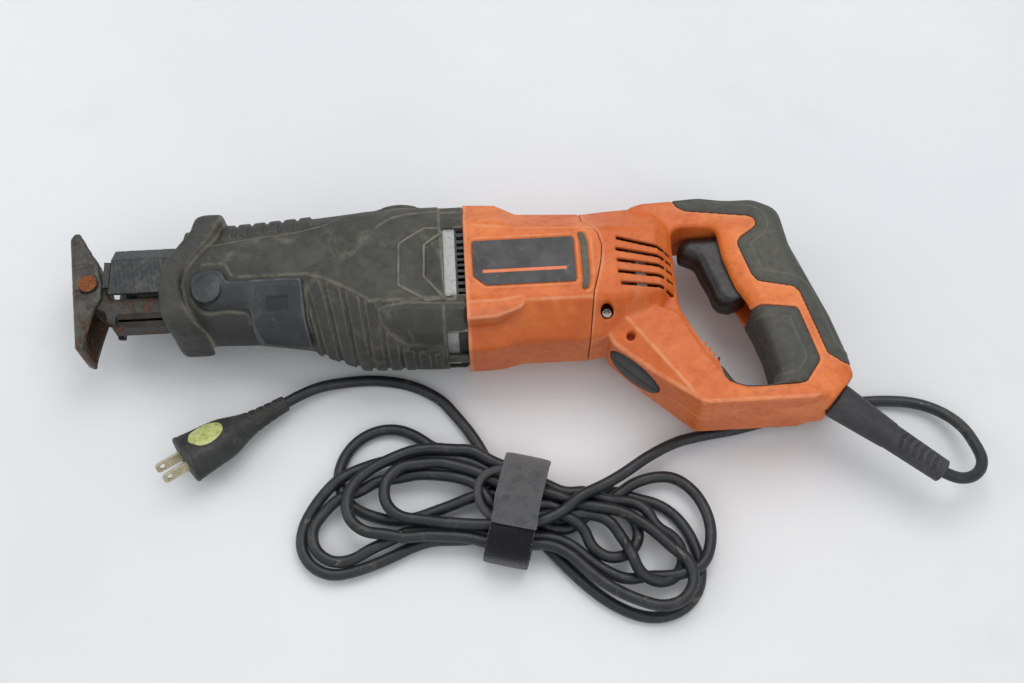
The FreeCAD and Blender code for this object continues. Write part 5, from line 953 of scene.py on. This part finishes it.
def make_handle():
    h = 0.8
    X, Y, Z, org = grid((77, -77, 12), (238, 68, 78), h)
    # one half is built on z >= 38 and mirrored for the other
    X, Y, Z, org = grid((77, -77, 37.0), (238, 68, 77), h)
    XY = (X[:, :, 0], Y[:, :, 0])
    az = Z - ZM
    fr2 = poly(FRAME, *XY)
    op2 = poly(OPEN, *XY)
    # row of small teeth on the opening's lower left wall
    for k in range(4):
        t = np.array([0.535, -0.845])
        n = np.array([0.845, 0.535])
        c = np.array([147.2, -32.7]) + t * (4.05 * k + 1.2)
        tri = [tuple(c - t * 1.3 - n * 3), tuple(c - t * 1.3 + n * 2.3), tuple(c + t * 0.3 + n * 2.3), tuple(c + t * 1.7 - n * 0.2), tuple(c + t * 1.7 - n * 3)]
        op2 = np.maximum(op2, -poly(tri, *XY))
    base2 = np.maximum(poly(BASE, *XY), -op2)
    fr2 = fr2[:, :, None]
    op2 = op2[:, :, None]
    base2 = base2[:, :, None]
    gripw = ss(X, 150, 176) * ss(Y, -66, -56)
    R = 3.2 + 7.0 * gripw
    body2 = np.maximum(fr2, -op2)
    frame_d = ext2(body2, az - 20.0, R)
    # inner slope of the top bar, switched off: the line below leaves frame_d unchanged
    frame_d = smax(frame_d, ((az - 8.0) * 0.8 + (48.5 - Y) * 0.62) * 1.0 - 8.0 + 0 * X, 1.2) if False else frame_d
    base_d = ext2(base2, az - 24.0, 1.2)
    uu = (X - 106.3) * -0.819 + (Y + 21.0) * -0.575
    ch = (az - 24.0 + 0.50 * uu) * 0.894
    base_d = smax(base_d, ch, 0.6)
    frame_d = smax(frame_d, ch, 0.6)
    front_d = section(X, Y, Z, FRONT, 2.2)
    front_d = smax(front_d, X - 134.0, 3.0)
    d = smin(smin(frame_d, base_d, 0.8), front_d, 1.2)
    d = smax(d, -op2, 1.0)
    split = split_x(Y) + 0.35
    d = np.maximum(d, split - X)
    # half line of the two shells
    d = d + 0.5 * np.clip(1.0 - az / 0.7, 0, 1)
    outer = d.copy()
    z1 = poly(ZONE1, *XY)[:, :, None]
    z2 = poly(ZONE2, *XY)[:, :, None]
    front_void = section(X, Y, Z, FRONT, 2.2) + 3.2
    front_void = np.maximum(front_void, X - 130.5)
    slot = boxd(X, Y, az, 157.5, 190.3, -11.5, 44.0, -20, 11.5, 1.0)
    vents = None
    for i, (a, b) in enumerate(VENTS):
        v = np.maximum(seg(X, Y, a, b) - 1.15, 18.0 - az)
        vents = v if vents is None else np.minimum(vents, v)
    for i, (a, b) in enumerate(VENTS2):
        vents = np.minimum(vents, np.maximum(seg(X, Y, a, b) - 1.0, 12.0 - az))
    near_sc = np.maximum(np.sqrt((X - 91) ** 2 + (Y + 14) ** 2) - 3.9, 62.0 - Z)
    near_rim = np.maximum(np.sqrt((X - 91) ** 2 + (Y + 14) ** 2) - 5.2, 61.0 - Z)
    second = np.maximum(np.sqrt((X - 104.5) ** 2 + (Y + 27.5) ** 2) - 2.6, 52.0 - Z)
    ax_, ay_, az_ = X - RB[0], Y - RB[1], Z - RB[2]
    s = ax_ * RD[0] + ay_ * RD[1] + az_ * RD[2]
    rr = np.sqrt(np.maximum((ax_ - s * RD[0]) ** 2 + (ay_ - s * RD[1]) ** 2 + (az_ - s * RD[2]) ** 2, 0))
    seat = np.minimum(np.maximum(rr - 8.3, -20.5 - s), np.maximum(rr - (11.4 - 3.0 * np.clip(s / 34.0, 0, 1)), -1.5 - s))
    seat = np.minimum(seat, np.maximum(rr - 10.9, np.maximum(-13.5 - s, s + 8.5)))
    pt = (X - 106.6) * 0.700 + (Y + 42.5) * -0.714
    ell = (np.sqrt((pt / 18.6) ** 2 + (az / 14.5) ** 2) - 1.0) * 13.0
    pn = (X - 106.6) * -0.714 + (Y + 42.5) * -0.700
    pad_zone = np.maximum(ell, -pn - 9.0)
    cav = -outer
    core = outer
    for z in (z1, z2):
        core = np.maximum(core, -np.maximum(-(outer + 1.9), z - 0.12))
    for v in (front_void, slot, vents, near_sc, seat):
        core = smax(core, -v, 0.5)
    core = smax(core, -(second), 1.2)
    core = np.maximum(core, -np.maximum(-(outer + 2.4), pad_zone - 0.2))
    # moulded edge round each rubber part
    parts = []
    grips = []
    for nm, z in (("rear_grip", z1), ("front_grip", z2)):
        line = 0.40 * np.exp(-((z + 7.2) / 0.8) ** 2) * (az > 9) * (X > 150)
        g = np.maximum(outer - 0.35 - line + 0.5 * np.exp(-((z + 0.2) / 0.7) ** 2), -(outer + 1.8))
        g = smax(g, z + 0.05, 0.5)
        for v in (slot, seat):
            g = smax(g, -v, 0.5)
        grips.append((nm, g))
    pad = smax(np.maximum(outer - 1.2 + 0.9 * np.clip(ell / 13.0 + 1.0, 0, 1) ** 3, -(outer + 2.2)), pad_zone, 1.0)
    pad = pad + 0.0
    cut = 0.04 - az
    return h, org, np.maximum(core, cut), [(n, np.maximum(g, cut)) for n, g in grips], np.maximum(pad, -az), (X, Y, Z)


def mirrored(F, org, h, side):
    """A half built above the middle plane, or its mirror image below it."""
    if side > 0:
        return F, org
    G = F[:, :, ::-1]
    zt = org[2] + (F.shape[2] - 1) * h
    return G, (org[0], org[1], 2 * ZM - zt)


def handle_line(x, y, z):
    a = np.abs(z - ZM)
    uu = (x - 106.3) * -0.819 + (y + 21.0) * -0.575
    f = poly(FRAME, x, y)
    # pale lines on the chamfer crease, the facet's upper edge, the grip borders, the split and the opening's rim:
    # painted highlight
    v = 0.75 * np.exp(-((uu - 0.3) / 0.9) ** 2) * (y < -16) * (a > 20) * (x < 152)
    v = np.maximum(v, 0.55 * np.exp(-((a - 24.0 + 0.5 * np.maximum(uu, 0)) / 0.8) ** 2) * (y < -20) * (f > -2.2))
    for zn in (ZONE1, ZONE2):
        v = np.maximum(v, 0.35 * np.exp(-((poly(zn, x, y) - 1.0) / 0.9) ** 2))
    v = np.maximum(v, 0.6 * np.exp(-((x - split_x(y) - 1.0) / 0.8) ** 2) * (a > 20))
    v = np.maximum(v, 0.5 * np.exp(-((poly(OPEN, x, y) - 1.2) / 0.9) ** 2) * (y < -20) * (a > 18))
    return v


def handle_tone(x, y, z):
    a = np.abs(z - ZM)
    uu = (x - 106.3) * -0.819 + (y + 21.0) * -0.575
    # darker on the facet past the chamfer line: painted shade
    v = 0.30 * ss(uu, 0.0, 1.5) * (y < -14)
    # grime round the slots
    for p, q in VENTS:
        v = np.maximum(v, 0.35 * (1 - ss(seg(x, y, p, q), 1.0, 3.5)) * (a > 16))
    return v


def grip_marks(zn):
    def line(x, y, z):
        p = poly(zn, x, y)
        # pale lines on the raised rib and along the border: painted highlight
        return np.maximum(0.55 * np.exp(-((p + 7.2) / 0.7) ** 2) * (np.abs(z - ZM) > 9) * (x > 150), 0.35 * np.exp(-((p + 0.6) / 0.6) ** 2))

    def tone(x, y, z):
        # darker in a band along the grip's border; in and beside the handle opening the darkening is painted shade
        return 0.5 * (1 - ss(-poly(zn, x, y), 0.6, 3.5)) + 0.35 * (poly(OPEN, x, y) < 2.5)
    return {"line": line, "tone": tone}


HM = {"line": handle_line, "tone": handle_tone}
h_, org_, core_, grips_, pad_, axes_ = make_handle()
for nm in ("left", "right"):
    lo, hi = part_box("handle_shell_" + nm)
    side = 1 if (lo.z + hi.z) / 2 > 0.038 else -1
    F, o_ = mirrored(core_, org_, h_, side)
    if side < 0:
        Xh, Yh, Zh = axes_
        zz = o_[2] + np.arange(F.shape[2]) * h_
        zz = zz[None, None, :]
        F = F.copy()
        nsc = np.maximum(np.sqrt((Xh - 91) ** 2 + (Yh + 14) ** 2) - 3.9, zz - 14.0)
        for sx, sy in FAR_SCREWS:
            w = np.maximum(np.sqrt((Xh - sx) ** 2 + (Yh - sy) ** 2) - 3.8, zz - 22.8)
            F = np.maximum(F, -w)
    put(build("handle_half_" + nm, F, o_, h_, M["orange"], smooth=1, marks=HM), "housing", "orange_plastic", "handle_shell_" + nm)
    for gn, G in grips_:
        F, o_ = mirrored(G, org_, h_, side)
        if side < 0:
            F = F.copy()
            for sx, sy in FAR_SCREWS:
                w = np.maximum(np.sqrt((Xh - sx) ** 2 + (Yh - sy) ** 2) - 3.9, zz - 22.8)
                F = np.maximum(F, -w)
        put(build(gn + "_rubber_" + nm, F, o_, h_, M["grip"], smooth=1, marks=grip_marks(ZONE1 if gn == "rear_grip" else ZONE2)), "housing", "grip_rubber", gn + "_" + nm)
# oval foot across the half line
P_ = np.concatenate([pad_[:, :, :0:-1], pad_], axis=2)
k0 = int(round((ZM - org_[2]) / h_))
up_ = pad_[:, :, k0:]
zc = org_[2] + k0 * h_
F = np.concatenate([up_[:, :, :0:-1], up_], axis=2)
o_ = (org_[0], org_[1], zc - (up_.shape[2] - 1) * h_)
xs_ = slice(int((82 - org_[0]) / h_), int((130 - org_[0]) / h_))
ys_ = slice(0, int((-20 - org_[1]) / h_))
F = F[xs_, ys_, :]
o_ = (org_[0] + xs_.start * h_, org_[1], o_[2])
put(build("bumper_pad_rubber", F, o_, h_, M["black"], smooth=2), "housing", "black_rubber", "bumper_pad")

put(make_boot(), "housing", "olive_rubber", "nose_boot")
put(make_lever(), "release_lever", "lever_plastic", "release_lever")
put(make_motor(), "housing", "orange_plastic", "motor_housing")


# ------------------------------------------------------------------ trigger
def make_trigger():
    h = 0.5
    X, Y, Z, org = grid((140, -12, 26), (183, 45, 50), h)
    P = arc_poly([(141.3, 31, 3), (141.3, 38.5, 5), (147, 43.2, 4), (181, 43.2, 2), (181, 2, 3), (175.5, -1.5, 3), (168, -4.4, 3), (162.5, -4.4, 4), (159.4, 0.5, 5), (157.6, 8, 12), (153.8, 17, 12), (151, 26, 8), (146.5, 28.5, 5)])
    d2 = poly(P, X[:, :, 0], Y[:, :, 0])[:, :, None]
    R = 2.0 + 5.5 * (1 - ss(X, 164, 172))
    d = ext2(d2, np.abs(Z - ZM) - 10.8, R)
    # finger hollow, mould line
    d += 0.35 * np.exp(-((Z - ZM) / 0.6) ** 2) * (d2 > -2.5)
    d += 0.25 * np.exp(-((X + 0.30 * Y - 163.0) / 0.9) ** 2) * (Y > 0) * (Y < 36)
    return build("trigger_rubber_cover", d, org, h, M["trigger"], smooth=1)


put(make_trigger(), "trigger", "black_rubber", "trigger")


# ------------------------------------------------------------------ turned and lofted pieces
def frame_of(d, roll=0.0):
    d = np.asarray(d, float)
    d = d / np.linalg.norm(d)
    w = np.cross((0, 0, 1.0), d)
    w /= np.linalg.norm(w)
    hgt = np.cross(d, w)
    c, s = math.cos(roll), math.sin(roll)
    return d, w * c + hgt * s, hgt * c - w * s


def ringed(name, rings, mat, body_slot, nodes, gain=1.0, step=0.7, cap=True):
    """rings: list of (n,3) arrays, joined in order, closed at both ends."""
    n = len(rings[0])
    V = np.concatenate(rings)
    m = len(rings)
    a = np.arange(n)
    Q = []
    for i in range(m - 1):
        Q.append(np.stack([i * n + a, i * n + (a + 1) % n, (i + 1) * n + (a + 1) % n, (i + 1) * n + a], 1))
    Q = np.concatenate(Q)
    me = mesh_from(name, V, Q)
    add_cav(me, step, 2, 10, gain)
    if cap:
        bm = bmesh.new()
        bm.from_mesh(me)
        bm.verts.ensure_lookup_table()
        for ring in (range(n), range((m - 1) * n, m * n)):
            f = bm.faces.new([bm.verts[k] for k in ring])
            f.smooth = True
        bmesh.ops.recalc_face_normals(bm, faces=bm.faces)
        bm.to_mesh(me)
        bm.free()
    o = new_object(name, me, mat)
    return o


# strain relief: tapered sleeve with flex notches near its tip
def make_relief():
    d, w, hg = frame_of(RT - RB)
    L = float(np.linalg.norm(RT - RB))
    th = np.linspace(0, 2 * math.pi, 72, endpoint=False)
    rings = []
    S = [-14.5, -13.2] + list(np.arange(-12.9, L - 0.8, 0.55)) + [L - 0.8, L - 0.3, L]
    for s in S:
        if s < -13.0:
            R = 7.2
        elif s < -9:
            R = 10.2
        elif s < -1.2:
            R = 7.9
        else:
            R = np.interp(s, [-1, 0, 33, 37, L], [10.6, 11.0, 8.7, 8.0, 7.2])
        if s > L - 1.2:
            R -= (s - (L - 1.2)) ** 2 * 1.1
        r = np.full(len(th), R)
        if s > 1:
            # flat flanks of the thick part
            r = r - 0.9 * (1 - np.clip((s - 24) / 12.0, 0, 1)) * np.cos(2 * th) ** 2 * (np.cos(2 * th) > 0) * 0.6
        for k in range(6):
            c = 42.5 + 4.6 * k
            for q, off in ((0.0, 0.0), (math.pi, 2.3)):
                dv = np.abs(((th - q + math.pi) % (2 * math.pi)) - math.pi)
                pos = c + off + 2.2 * (dv / 1.1) ** 1.0
                amp = 1.9 * (1 - ss(dv, 0.75, 1.15))
                r = r - amp * np.exp(-((s - pos) / 0.85) ** 2)
        r = r + 0.25 * np.exp(-((s - 35.5) / 0.8) ** 2)
        rings.append(RB + d * s + np.outer(r * np.cos(th), hg) + np.outer(r * np.sin(th), w))
    return ringed("strain_relief_sleeve", rings, M["relief"], None, None)


relief = put(make_relief(), "housing", "black_rubber", "strain_relief")


# plug: moulded body with chevron flex cuts towards the cord, two flat blades, oval window
PE = np.array([-107.0, -38.4, 8.6])
PD = np.array([-0.843, -0.528, 0.116])
PD = PD / np.linalg.norm(PD)
PROLL = math.radians(31.0)
PW = np.cross((0, 0, 1.0), PD)
PW /= np.linalg.norm(PW)
PH = np.cross(PD, PW)
PW, PH = PW * math.cos(PROLL) + PH * math.sin(PROLL), PH * math.cos(PROLL) - PW * math.sin(PROLL)
PTAB = [(0, 9.8, 9.8), (12, 11.8, 11.4), (24, 14.8, 13.6), (32, 20.5, 16.6), (41, 27.0, 19.6), (51, 30.6, 21.6), (61, 31.6, 22.2), (66, 32.6, 23.0), (68.5, 34.2, 23.8), (70, 34.4, 24.0)]


def plug_place(V):
    return PE + np.outer(V[:, 0], PD) + np.outer(V[:, 1], PW) + np.outer(V[:, 2], PH)


def make_plug():
    th = np.linspace(0, 2 * math.pi, 108, endpoint=False)
    S = [t[0] for t in PTAB]
    W = [t[1] for t in PTAB]
    H = [t[2] for t in PTAB]
    rings = []
    fine = np.linspace(-4, 4, 9)
    for s in [0.0, 0.25] + list(np.arange(0.7, 69.4, 0.45)) + [69.6, 69.9, 70.0]:
        wv = float(np.mean(np.interp(s + fine, S, W))) / 2
        hv = float(np.mean(np.interp(s + fine, S, H))) / 2
        p = 2.0 + 0.9 * float(ss(np.array(s), 28, 44))
        c, sn = np.cos(th), np.sin(th)
        r = 1.0 / (np.abs(c / wv) ** p + np.abs(sn / hv) ** p) ** (1 / p)
        if s > 68.8:
            r = r - (s - 68.8) ** 2 * 0.9
        if s < 0.7:
            r = r - (0.7 - s) ** 2 * 1.2
        for k in range(4):
            c0 = 6.5 + 5.2 * k
            for q in (0.5 * math.pi, 1.5 * math.pi):
                dv = np.abs(((th - q + math.pi) % (2 * math.pi)) - math.pi)
                pos = c0 + 3.2 * (1 - dv / 1.2)
                r = r - 1.15 * (1 - ss(dv, 0.85, 1.15)) * np.exp(-((s - pos) / 0.60) ** 2)
        r = r - 0.9 * np.abs(c) ** 4 * np.exp(-((s - 52) / 8.0) ** 2)
        r = r - 0.35 * np.exp(-((s - 66.3) / 0.5) ** 2)
        # shallow seat round the window
        e = np.sqrt(((s - 53.5) / 13.2) ** 2 + (r * c / 10.6) ** 2)
        r = r - 0.7 * (1 - ss(e, 0.92, 1.04)) * (sn > 0)
        rings.append(PE + PD * s + np.outer(r * c, PW) + np.outer(r * sn, PH))
    return ringed("plug_body_moulded", rings, M["plug"], None, None)


def make_lens():
    h = 0.35
    X, Y, Z, org = grid((40, -10.5, 5.0), (67, 10.5, 12.4), h)
    e = (np.sqrt(((X - 53.5) / 12.3) ** 2 + (Y / 9.6) ** 2) - 1.0) * 10.0
    top = Z - (11.1 - 1.5 * (Y / 9.6) ** 2 - 0.8 * ((X - 53.5) / 12.3) ** 2)
    d = np.maximum(ext2(e + 0 * Z, top, 0.9), 6.0 - Z)
    return build("plug_window", d, org, h, M["lens"], smooth=1, place=plug_place)


def make_blades():
    h = 0.28
    X, Y, Z, org = grid((60, -8.0, -4.0), (87.5, 8.0, 4.0), h)
    b = boxd(X, np.abs(Y), Z, 61.0, 86.6, 5.6, 7.1, -3.18, 3.18, 0.0)
    tip = np.sqrt((X - 83.6) ** 2 + Z ** 2 * 0.9) - 3.35
    b = np.maximum(b, np.where(X > 83.6, tip, -5.0))
    b = smax(b, 1.6 - np.sqrt((X - 82.4) ** 2 + Z ** 2) + 0 * Y, 0.25)
    return build("plug_blade_pair", b, org, h, M["brass"], smooth=1, place=plug_place)


plug = put(make_plug(), "housing", "black_rubber", "plug_body")
plug_window = put(make_lens(), "housing", "lens_plastic", "plug_lens")
plug_pins = put(make_blades(), "housing", "brass", "plug_blades")


# ------------------------------------------------------------------ strap round the hank: loop side up, hook side below
SC = np.array([31.5, -118.0])
SA = math.radians(-15.0)
SU = np.array([math.cos(SA), math.sin(SA), 0.0])
SV = np.array([-math.sin(SA), math.cos(SA), 0.0])


def strap_ring(off, t, n=180):
    """Closed line round the bundle in the strap's v-z plane, pushed out by off."""
    a, b, zc = 30.0 + off, 12.1 + off, 13.3
    p = 3.2
    c, s = np.cos(t), np.sin(t)
    r = 1.0 / (np.abs(c / a) ** p + np.abs(s / b) ** p) ** (1 / p)
    v, z = r * c, r * s + zc
    return v, z


def make_strap(name, mat, t0, t1, lift, half, u0, wav):
    n, m = 260, 46
    T = np.linspace(t0, t1, n)
    U = np.linspace(-half, half, m)
    outer, inner = [], []
    for j, u in enumerate(U):
        edge = abs(u) / half
        bul = 0.55 * np.sin(T * 5.0 + 0.6) + 0.35 * np.sin(T * 11.0 + u * 0.12)
        th = 2.1 - 0.5 * edge ** 6
        v, z = strap_ring(0.2 + lift, T)
        v2, z2 = strap_ring(0.2 + lift + th, T)
        k = wav * bul
        zz2 = np.maximum(z2 + k * (z2 > 18), 0.12)
        zz = np.maximum(z + k * (z2 > 18), 0.05)
        us = u + u0 + 0.35 * np.sin(T * 3.0 + 1.0) + (0.25 * np.sin(T * 60.0) * edge ** 8)
        P2 = np.array([SC[0], SC[1], 0]) + np.outer(us, SU) + np.outer(v2, SV)
        P2[:, 2] = zz2
        P1 = np.array([SC[0], SC[1], 0]) + np.outer(us, SU) + np.outer(v, SV)
        P1[:, 2] = zz
        outer.append(P2)
        inner.append(P1)
    V = np.concatenate(outer + inner[::-1])
    rows = 2 * m
    Q = []
    a = np.arange(n - 1)
    for j in range(rows):
        j2 = (j + 1) % rows
        Q.append(np.stack([j * n + a, j2 * n + a, j2 * n + a + 1, j * n + a + 1], 1))
    Q = np.concatenate(Q)
    me = mesh_from(name, V, Q)
    bm = bmesh.new()
    bm.from_mesh(me)
    bm.verts.ensure_lookup_table()
    for k in (0, n - 1):
        lo_ = [bm.verts[j * n + k] for j in range(rows)]
        f = bm.faces.new(lo_)
        f.smooth = False
    bmesh.ops.recalc_face_normals(bm, faces=bm.faces)
    bm.to_mesh(me)
    bm.free()
    add_cav(me, 0.8)
    return new_object(name, me, mat)


# t = 0 is the far side (+v), pi/2 the top, pi the near side
strap_a = put(make_strap("cord_strap_hook_side", M["strap_dark"], 1.95, 2 * math.pi + 0.6, 0.0, 13.0, 0.0, 1.0), "housing", "strap_fabric", "cord_strap")
strap_b = put(make_strap("cord_strap_loop_side", M["strap_grey"], 0.05, 2.25, 2.0, 13.4, 0.3, 1.0), "housing", "strap_fabric")

# small pull loop of the strap, beside the band
def make_loop():
    C = [(26.4, -95.7, 24.0), (17.5, -94.7, 22.5), (11.0, -99.3, 21.0), (9.1, -107.3, 20.0), (11.3, -115.6, 19.5), (17.6, -122.0, 19.5), (25.5, -124.2, 20.0), (29.2, -109.8, 22.0)]
    C = np.array(C, float)
    n = 140
    t = np.linspace(0, len(C), n, endpoint=False)
    i = np.floor(t).astype(int) % len(C)
    f = (t % 1.0)[:, None]
    p0, p1, p2, p3 = C[i - 1], C[i], C[(i + 1) % len(C)], C[(i + 2) % len(C)]
    P = 0.5 * (2 * p1 + (p2 - p0) * f + (2 * p0 - 5 * p1 + 4 * p2 - p3) * f ** 2 + (3 * p1 - p0 - 3 * p2 + p3) * f ** 3)
    T = np.roll(P, -1, 0) - np.roll(P, 1, 0)
    T /= np.linalg.norm(T, axis=1)[:, None]
    up_ = np.array([0, 0, 1.0])
    sd = np.cross(T, up_)
    sd /= np.linalg.norm(sd, axis=1)[:, None]
    upv = np.cross(sd, T)
    m = 20
    V = []
    for k in range(m):
        a = 2 * math.pi * k / m
        w_ = 2.5 * np.sign(math.cos(a)) * abs(math.cos(a)) ** 0.8
        q_ = 1.9 * math.sin(a)
        V.append(P + sd * w_ + upv * q_)
    V = np.concatenate(V)
    a = np.arange(n)
    Q = np.concatenate([np.stack([k * n + a, ((k + 1) % m) * n + a, ((k + 1) % m) * n + (a + 1) % n, k * n + (a + 1) % n], 1) for k in range(m)])
    me = mesh_from("cord_strap_loop", V, Q)
    add_cav(me, 0.8)
    return new_object("cord_strap_loop", me, M["relief"])


strap_ring = put(make_loop(), "housing", "black_rubber")


# ------------------------------------------------------------------ copies of the metal parts with rolled, worn edges
def remeshed(name, node, mat, voxel, body, slot, smooth=2, rough=0.0, warp=None):
    src = NODES[node]
    me = src.data.copy()
    o = bpy.data.objects.new(name, me)
    scene.collection.objects.link(o)
    m = o.modifiers.new("r", "REMESH")
    m.mode = "VOXEL"
    m.voxel_size = voxel
    m.use_smooth_shade = True
    s = o.modifiers.new("s", "SMOOTH")
    s.factor = 0.5
    s.iterations = smooth
    dg = bpy.context.evaluated_depsgraph_get()
    new = bpy.data.meshes.new_from_object(o.evaluated_get(dg))
    o.modifiers.clear()
    o.data = new
    new.materials.clear()
    new.materials.append(mat)
    if rough:
        n = len(new.vertices)
        co = np.empty(n * 3, np.float32)
        new.vertices.foreach_get("co", co)
        co = co.reshape(-1, 3)
        no = np.empty(n * 3, np.float32)
        new.vertices.foreach_get("normal", no)
        no = no.reshape(-1, 3)
        p = co * 1000.0
        w = (np.sin(p[:, 0] * 0.9 + 1.3 * np.sin(p[:, 1] * 0.6)) * np.sin(p[:, 1] * 0.8 + 1.1 * np.sin(p[:, 2] * 0.7)) * np.sin(p[:, 2] * 0.75 + p[:, 0] * 0.3) + 0.5 * np.sin(p[:, 0] * 2.3 + p[:, 1] * 1.7) * np.sin(p[:, 2] * 2.1 - p[:, 1] * 1.3))
        co += no * (w * rough / 1000.0)[:, None]
        new.vertices.foreach_set("co", co.ravel())
        new.update()
    if warp:
        n = len(new.vertices)
        co = np.empty(n * 3, np.float32)
        new.vertices.foreach_get("co", co)
        co = warp(co.reshape(-1, 3).astype(np.float64) * 1000.0) / 1000.0
        new.vertices.foreach_set("co", co.astype(np.float32).ravel())
        new.update()
    new.polygons.foreach_set("use_smooth", np.ones(len(new.polygons), bool))
    add_cav(new, voxel * 1000.0)
    bpy.data.meshes.remove(me)
    put(o, body, slot, node)
    return o


def make_shoe():
    h = 0.6
    X, Y, Z, org = grid((-236, -18, 21), (-210, 66, 55), h)
    XY = (X[:, :, 0], Y[:, :, 0])
    az = np.abs(Z - ZM)
    out = [(-234.3, 60, 3), (-232.0, 64.2, 2.5), (-228.3, 64.0, 2), (-225.0, 59.0, 3), (-219.3, 49, 10), (-214.2, 38, 8), (-211.3, 28, 6), (-211.3, 18.5, 4), (-214.8, 12, 6), (-217.0, 3, 10), (-219.3, -8, 8), (-220.2, -16.6, 1.5), (-225.8, -14.2, 2.5), (-231.0, 30.6, 20)]
    o2 = poly(arc_poly(out), *XY)
    line = [(-232.6, 65), (-234.4, 60), (-231.1, 30.6), (-225.9, -13), (-219.5, -17.2)]
    dl = np.full(o2.shape, 1e9)
    for a_, b_ in zip(line, line[1:]):
        dl = np.minimum(dl, seg(XY[0], XY[1], a_, b_))
    outer = ext2(o2[:, :, None], az - 16.0, 3.2)
    inner = np.maximum((2.7 - dl)[:, :, None], az - 13.6)
    d = smax(outer, -inner, 0.8)
    slot = np.maximum(boxd(X, Y, az, -240, -223, 4, 50, -10, 5.0, 1.0), -30)
    d = smax(d, -slot, 0.5)
    d = smax(d, -boxd(X, Y, az, -240, -219, -13, 6, -10, 3.0, 0.5), 0.4)
    rv = np.sqrt((X + 220.5) ** 2 + (Y - 27.7) ** 2)
    hole = 4.7 - rv
    d = smax(d, -np.maximum(rv - 6.6, 15.55 - az), 0.3)
    d = np.maximum(d, np.where(az > 9, hole, -50))
    lump = 0.10 * np.sin(X * 0.9 + 1.3 * np.sin(Y * 0.6)) * np.sin(Y * 0.8 + 1.1 * np.sin(Z * 0.7)) * np.sin(Z * 0.75 + X * 0.3)
    d = d + lump

    # pale line just inside the rim of the side plates: painted highlight with rubbed wear
    def edge_highlight_and_wear(x, y, z):
        a2 = np.abs(z - ZM)
        p = poly(arc_poly(out), x, y)
        return np.clip(0.8 * np.exp(-((p + 0.9) / 0.8) ** 2) * (a2 > 12), 0, 1)

    def patch(x, y, z):
        a2 = np.abs(z - ZM)
        inside = (a2 < 14.2) * 1.0
        return np.clip(inside * 0.9 + 0.8 * (1 - ss(np.sqrt((x + 218.5) ** 2 + (y + 5) ** 2), 4, 12)), 0, 1)
    return build("shoe_pressed_steel", d, org, h, M["shoe"], smooth=1, marks={"line": edge_highlight_and_wear, "tone": patch})


put(make_shoe(), "shoe", "rusty_steel", "shoe")
remeshed("shoe_rivet_heads", "shoe_rivets", M["rivet"], 0.00040, "post", "rusty_steel", 2, 0.08)
def lift_post(P):
    P = P.copy()
    y = P[:, 1]
    P[:, 1] = np.where(y < 12, 12 - (12 - y) * 0.66, y)
    return P


def lower_dial(P):
    P = P.copy()
    y = P[:, 1]
    P[:, 1] = np.where(y > 66.0, 66.0 + (y - 66.0) * 0.62, y)
    return P


remeshed("shoe_post_bar", "shoe_post", M["post"], 0.00060, "post", "black_steel", 2, 0.06, lift_post)
remeshed("blade_guard_hood", "blade_guard", M["hood"], 0.00050, "housing", "black_steel", 2, 0.10)
remeshed("orbital_dial_knob", "orbital_dial", M["boot"], 0.00045, "dial", "black_plastic", 1, 0.0, lower_dial)
remeshed("orbital_dial_pointer", "orbital_pointer", M["accent"], 0.00035, "dial", "orange_accent", 1, 0.0, lower_dial)


# ------------------------------------------------------------------ screws of the handle, with six-lobed sockets
def make_screws():
    h = 0.32
    parts = []
    for (sx, sy, zt, z0) in [(91.0, -14.0, 64.4, 50.0)] + [(a, b, 20.4, 34.0) for a, b in FAR_SCREWS]:
        up_ = zt > ZM
        lo_, hi_ = (z0, zt) if up_ else (zt, z0)
        X, Y, Z, org = grid((sx - 3.6, sy - 3.6, lo_ - 0.4), (sx + 3.6, sy + 3.6, hi_ + 0.4), h)
        r = np.sqrt((X - sx) ** 2 + (Y - sy) ** 2)
        th = np.arctan2(Y - sy, X - sx)
        t = (zt - Z) if up_ else (Z - zt)
        head = ext2(r - 3.2 + 0 * Z, np.maximum(-t - 0.0 + 0.035 * r ** 2, t - 2.4), 0.4)
        shank = np.maximum(r - 1.9, np.maximum(1.5 - t, t - (hi_ - lo_)))
        d = np.minimum(head, shank)
        sock = np.maximum(r - (1.55 + 0.28 * np.cos(6 * th)), t - 1.7)
        d = smax(d, -sock, 0.15)
        V, Q = nets(np.ascontiguousarray(d, np.float32), org, h)
        parts.append((V, Q))
    n = 0
    VV, QQ = [], []
    for V, Q in parts:
        VV.append(V)
        QQ.append(Q + n)
        n += len(V)
    me = mesh_from("handle_screw_heads", np.concatenate(VV), np.concatenate(QQ))
    add_cav(me, h)
    return new_object("handle_screw_heads", me, M["steel"])


put(make_screws(), "housing", "steel", "handle_screws")


# ------------------------------------------------------------------ finish
carried = {"armature_core": "lam", "armature_windings": "copper", "bearing_bracket": "alu", "brush_holders": "brass", "carbon_brushes": "carbon", "clamp_collar": "steel", "commutator": "copper", "cooling_fan": "black", "field_coils": "copper", "field_stator": "lam", "front_bushing": "bronze", "gear_case": "alu", "gear_case_cover": "alu", "housing_screws": "steel", "lever_pin": "lever", "nameplates": "label", "plunger_seal": "black", "rear_bushing": "bronze", "side_strips": "strip", "switch_body": "black", "vent_baffle": "black"}
for n, o in NODES.items():
    if o.hide_render:
        continue
    me = o.data
    m = M[carried.get(n, "steel")]
    me.materials.clear()
    me.materials.append(m)
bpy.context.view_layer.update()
